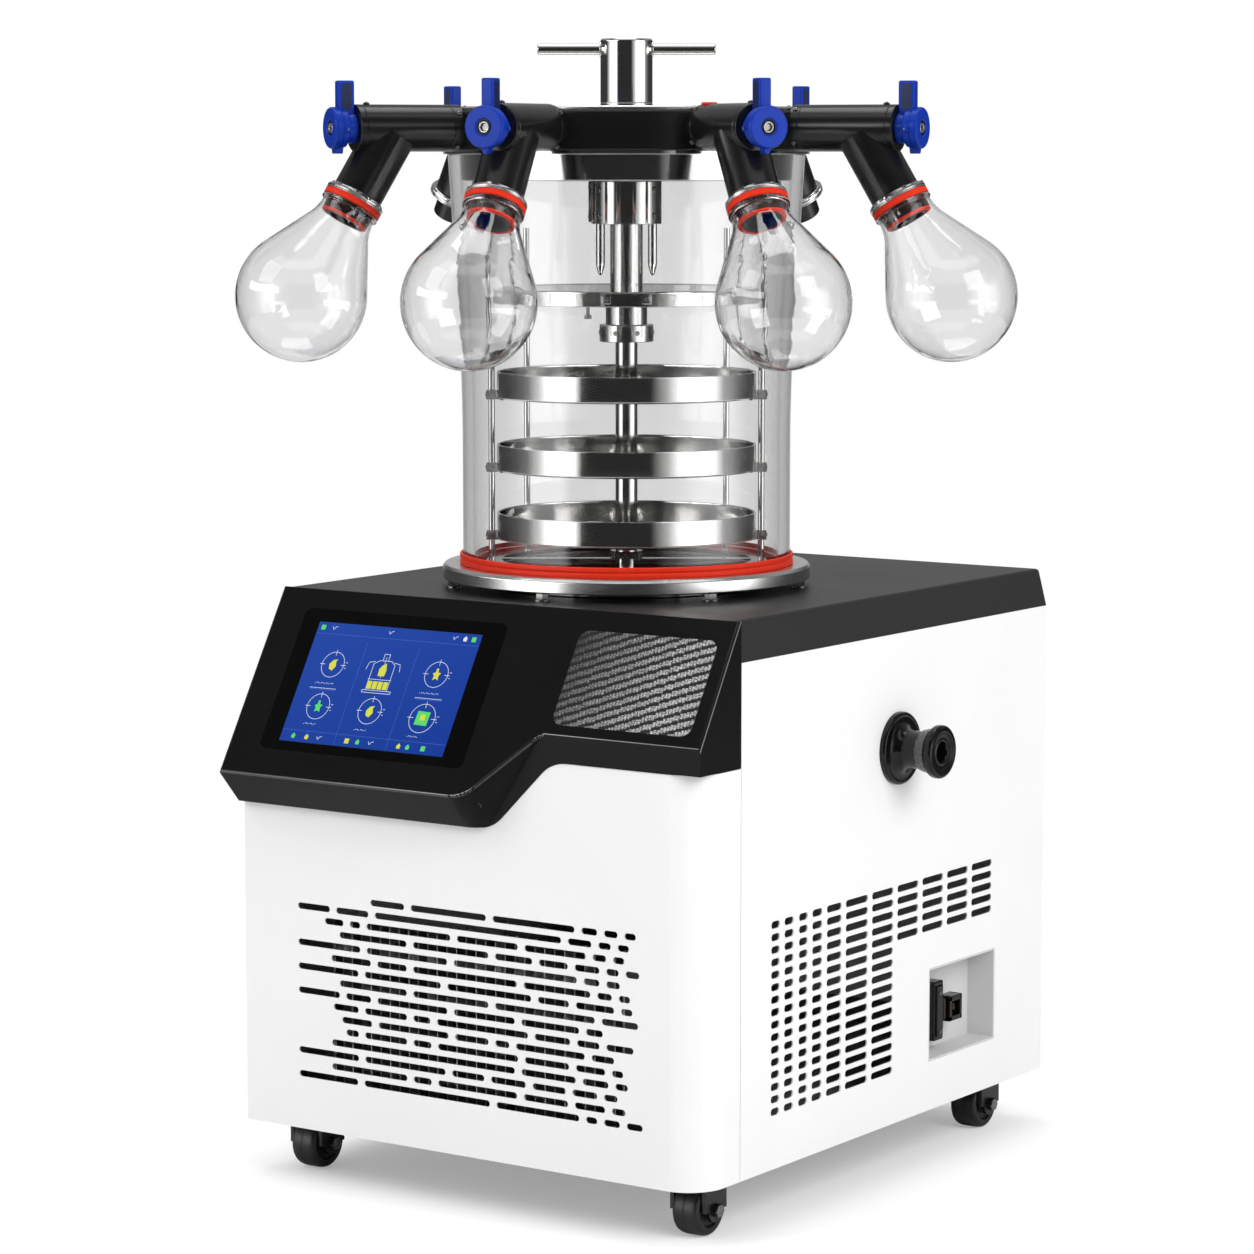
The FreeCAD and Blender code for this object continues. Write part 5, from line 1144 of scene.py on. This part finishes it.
class DRYER_OT_necks(bpy.types.Operator):
    """Bright neck rings with lugs, and the red flask seals"""
    bl_idname = "dryer.necks"
    bl_label = "Neck rings and seals"

    def execute(self, context):
        rings = Piece("collar_rings", chrome())
        for branch in BRANCHES:
            rings.add(lathe([(15.1, 57.6), (20.4, 57.6, 0.4), (21.6, 58.4, 0.4), (21.8, 59.6, 0.2),
                             (23, 60, 0.5), (23, 61.4, 0.4), (22.3, 61.7, 0.2), (22.3, 62, 0.2),
                             (22.9, 62.3, 0.3), (22.9, 63, 0.2), (15.1, 63)], branch, 96))
            for angle in (20, 80, 140, 200, 260, 320):
                rings.add(block((21, -1.5, 58.2), (22.7, 1.5, 60.4), branch @ at(turn=angle), 0.3))
        rings.replace("neck_rings")
        seals = Piece("seal_sleeves", seal_rubber())
        for branch in BRANCHES[:FLASKS]:
            seals.add(lathe([(15.1, 63.1), (22.6, 63.1, 0.5), (22.9, 64.6, 0.5), (22.5, 65.4, 0.3),
                             (22.9, 66.2, 0.5), (22.6, 67.8, 0.5), (15.1, 67.8)], branch, 72))
            # the seal's middle inside the neck is painted near black as shade
            seals.add(lathe([(15.1, 67.6), (18.6, 67.6), (18.3, 77.8), (15.1, 77.8)], branch, 72), sleeve_dark())
            seals.add(lathe([(15.1, 77.6), (18.3, 77.6), (18.2, 79.4, 0.5), (15.1, 80, 0.3)], branch, 72))
        seals.replace("flask_seals")
        return {"FINISHED"}


class DRYER_OT_flasks(bpy.types.Operator):
    """Four pear-shaped drying flasks"""
    bl_idname = "dryer.flasks"
    bl_label = "Flasks"

    def outline(self, radius, neck, centre, start):
        """Half outline of a pear from its neck to its bottom on the axis."""
        reach = math.hypot(centre - start, neck)
        lean = math.asin(radius / reach) - math.atan2(neck, centre - start)
        steps = 30
        arc = [-lean + (math.pi / 2 + lean) * i / steps for i in range(steps)]
        return [(radius * math.cos(a), centre + radius * math.sin(a)) for a in arc] + [(0, centre + radius)]

    def execute(self, context):
        look = context.scene.dryer_flasks
        bulb, wall = look.bulb / MM, look.wall / MM
        for i, branch in enumerate(BRANCHES[:FLASKS], 1):
            mouth = branch @ at(0, 0, 68)
            outer = self.outline(bulb, 21, 76.7, 9)
            inner = self.outline(bulb - wall, 21 - wall, 76.7, 9)
            flask = Piece(f"glass_flask_{i}", flask_glass())
            flask.add(lathe([(21 - wall, 0.3, 0.6), (22.4, 0.1, 0.8), (23, 1.5, 1.0), (22.2, 3, 0.9),
                             (21, 3.6, 0.8), (21, 11, 7, 8), *outer, *reversed(inner),
                             (21 - wall, 11, 7, 8)], mouth, 128))
            flask.replace(f"flask_{i}")
        return {"FINISHED"}


class DRYER_OT_casters(bpy.types.Operator):
    """Casters: mounting plates, forks with axle nuts, and wheels"""
    bl_idname = "dryer.casters"
    bl_label = "Casters"

    def execute(self, context):
        redress(zinc(), "caster_plates")
        for corner in CORNERS:
            node = f"caster_wheel_{corner}"
            hub = middle(node)
            place = at(hub.x - 11.5, hub.y, hub.z, (1, 0, 0))
            wheel = Piece(f"wheel_{corner}", tyre_rubber())
            wheel.add(lathe([(3.1, 0.6), (6, 0.6, 0.4), (6.6, 2.2, 0.4), (12.4, 2.6, 0.6), (13.6, 0.4, 0.6),
                             (16.4, 0, 1.0), (19.2, 1.6, 1.4, 4), (20, 5, 1.5, 4), (20, 10.9, 0.3),
                             (19.6, 11.5, 0.3), (20, 12.1, 0.3), (20, 18, 1.5, 4), (19.2, 21.4, 1.4, 4),
                             (16.4, 23, 1.0), (13.6, 22.6, 0.6), (12.4, 20.4, 0.6), (6.6, 20.8, 0.4),
                             (6, 22.4, 0.4), (3.1, 22.4)], place, 72))
            wheel.replace(node)
            fork = Piece(f"fork_{corner}", caster_black()).add(copied(f"caster_fork_{corner}"))
            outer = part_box(f"caster_fork_{corner}")[1].x / MM
            fork.add(hexagon(5.2, 2.4, at(outer - 2.6, hub.y, hub.z, (1, 0, 0)), 0.5), zinc())
            fork.add(lathe([(0, 0), (2.6, 0), (2.6, 2.5, 0.5), (0, 2.5)],
                           at(outer - 2.5, hub.y, hub.z, (1, 0, 0)), 20), zinc())
            fork.replace(f"caster_fork_{corner}", ease=0.5)
        return {"FINISHED"}


class DRYER_OT_studio(bpy.types.Operator):
    """Pale floor, soft lamps, studio surroundings and the camera"""
    bl_idname = "dryer.studio"
    bl_label = "Studio"

    def surroundings(self, look):
        """Even light for dull surfaces, white behind clear ones, and dark and bright bands for metal."""
        world = bpy.data.worlds.new("surroundings")
        bpy.context.scene.world = world
        world.use_nodes = True
        world.node_tree.nodes.clear()
        f = Finish("surroundings", world.node_tree)
        x, y, z = f.axes(f.node("ShaderNodeTexCoord", output="Generated"))
        front = x * math.sin(look.turn) - y * math.cos(look.turn)
        right = x * math.cos(look.turn) + y * math.sin(look.turn)
        angle = right.sum("ARCTAN2", front) * (0.5 / math.pi) + 0.5
        bands = f.node("ShaderNodeValToRGB", {0: angle}, stops=(
            (0.03, 0.5), (0.06, 0.05), (0.235, 0.05), (0.27, 0.8), (0.31, 2.8), (0.37, 2.8), (0.39, 0.03),
            (0.56, 0.03), (0.60, 0.8), (0.65, 3.0), (0.71, 3.0), (0.76, 0.3), (0.82, 0.05), (0.94, 0.05),
            (0.97, 0.5)))
        above = f.node("ShaderNodeValToRGB", {0: z}, stops=((0.2, 0.0), (0.42, 1.0)))
        overhead = f.node("ShaderNodeValToRGB", {0: z}, stops=((0.74, 0.0), (0.79, 1.2), (0.9, 1.2), (0.94, 0.0)))
        ceiling = f.between(front, 0.07, 0.34, 0.2, -0.4) + overhead * (front > 0.05)
        strip = (z > 0.13) * (z < 0.3) * (angle > 0.22) * (angle < 0.4) * 4.5
        mirrored = f.mix(above, bands, ceiling).sum("ADD", strip)
        path = f.node("ShaderNodeLightPath").socket.node
        ray = {name: Value(f, path.outputs[name]) for name in (
            "Is Camera Ray", "Is Transmission Ray", "Glossy Depth", "Diffuse Depth", "Transmission Depth")}
        reflected = ray["Glossy Depth"] > 0.5
        # a ray that has gone in and out of a wall has passed an even count of its faces
        faces_left = ray["Transmission Depth"].sum("MODULO", 4.0)
        in_wall = (faces_left > 1.5) * (faces_left < 2.5) * (front < -0.25)
        clear = (1 - reflected).sum("MAXIMUM", in_wall)
        straight = ray["Is Transmission Ray"] * clear * (ray["Diffuse Depth"] < 0.5)
        lit = f.mix(reflected, grey(look.ambient), mirrored)
        bent = f.between(front, 0.3, 1.0, -0.4, -0.86) * (1 - reflected * 0.35)
        through = f.mix(straight, lit, f.node("ShaderNodeCombineColor", {0: bent, 1: bent, 2: bent}))
        shown = f.mix(ray["Is Camera Ray"], through, grey(1))
        sky = f.node("ShaderNodeBackground", {"Color": shown, "Strength": 1.0})
        out = world.node_tree.nodes.new("ShaderNodeOutputWorld")
        f.feed(out.inputs["Surface"], sky)

    def lamp(self, name, place, aim, size, power):
        """A soft square lamp; the key and side lamps are hidden from metal's reflections where they are made."""
        light = bpy.data.lights.new(name, "AREA")
        light.shape = "SQUARE"
        light.size = size
        light.energy = power
        lamp = bpy.data.objects.new(name, light)
        bpy.context.collection.objects.link(lamp)
        lamp.location = place
        lamp.rotation_euler = (Vector(aim) - Vector(place)).to_track_quat("-Z", "Y").to_euler()
        return lamp

    def execute(self, context):
        look = context.scene.dryer_studio
        camera = bpy.data.objects.new("camera", bpy.data.cameras.new("camera"))
        context.collection.objects.link(camera)
        camera.location = look.place
        camera.rotation_euler = (math.pi / 2 - look.pitch, 0, look.turn)
        camera.data.lens = look.lens
        camera.data.sensor_width = 36
        camera.data.clip_end = 50
        context.scene.camera = camera
        context.scene.view_settings.view_transform = "Standard"

        form = bmesh.new()
        bmesh.ops.create_circle(form, cap_ends=True, segments=128, radius=1.9)
        mesh = bpy.data.meshes.new("floor")
        form.to_mesh(mesh)
        form.free()
        mesh.materials.append(floor_paint())
        ground = bpy.data.objects.new("floor", mesh)
        context.collection.objects.link(ground)
        self.surroundings(look)
        self.lamp("key_lamp", (-1.4, -2.2, 2.4), (0, 0, 0.4), 1.6, 37).visible_glossy = False
        self.lamp("side_lamp", (2.6, -0.6, 1.9), (0, 0, 0.4), 1.6, 52).visible_glossy = False
        self.lamp("top_lamp", (-0.3, 0.3, 2.6), (0, 0, 0.4), 1.2, 14)
        return {"FINISHED"}


@finish
def floor_paint(f):
    """Pale floor that shows white to the camera and keeps the shadow."""
    look = bpy.context.scene.dryer_studio
    path = f.node("ShaderNodeLightPath").socket.node
    seen = Value(f, path.outputs["Is Camera Ray"]).sum("MAXIMUM", Value(f, path.outputs["Is Transmission Ray"]))
    grain = f.noise(3, 2)
    lift = f.node("ShaderNodeCombineColor", {0: seen, 1: seen, 2: seen})
    tone = f.mix(grain, shade(look.floor_colour, 0.99), look.floor_colour)
    return f.surface({"Base Color": tone, "Roughness": 0.9, "Specular IOR Level": 0.0,
                      "Emission Color": lift, "Emission Strength": 0.3})


class DRYER_PT_panel(bpy.types.Panel):
    """Sidebar panel with the settings and the steps"""
    bl_idname = "DRYER_PT_panel"
    bl_label = "Freeze dryer"
    bl_space_type = "VIEW_3D"
    bl_region_type = "UI"
    bl_category = "Freeze dryer"

    def draw(self, context):
        for group, _ in GROUPS:
            settings = getattr(context.scene, group)
            box = self.layout.box()
            for name in settings.__annotations__:
                box.prop(settings, name)
        for step in STEPS:
            self.layout.operator(step.bl_idname)


GROUPS = (("dryer_cabinet", DryerCabinet), ("dryer_console", DryerConsole), ("dryer_chamber", DryerChamber),
          ("dryer_manifold", DryerManifold), ("dryer_flasks", DryerFlasks), ("dryer_studio", DryerStudio))
STEPS = (DRYER_OT_cabinet, DRYER_OT_console, DRYER_OT_services, DRYER_OT_machine, DRYER_OT_flange,
         DRYER_OT_chamber, DRYER_OT_press, DRYER_OT_rack, DRYER_OT_arms, DRYER_OT_valves, DRYER_OT_necks,
         DRYER_OT_flasks, DRYER_OT_casters, DRYER_OT_studio)


def register():
    """Makes the settings, the steps and the panel known."""
    for name, group in GROUPS:
        bpy.utils.register_class(group)
        setattr(bpy.types.Scene, name, bpy.props.PointerProperty(type=group))
    for step in (*STEPS, DRYER_PT_panel):
        bpy.utils.register_class(step)


def unregister():
    """Takes them out again."""
    for step in reversed((*STEPS, DRYER_PT_panel)):
        bpy.utils.unregister_class(step)
    for name, group in reversed(GROUPS):
        delattr(bpy.types.Scene, name)
        bpy.utils.unregister_class(group)


def main():
    """Builds every piece in order."""
    register()
    for step in STEPS:
        group, name = step.bl_idname.split(".")
        getattr(getattr(bpy.ops, group), name)()


if __name__ == "__main__":
    main()
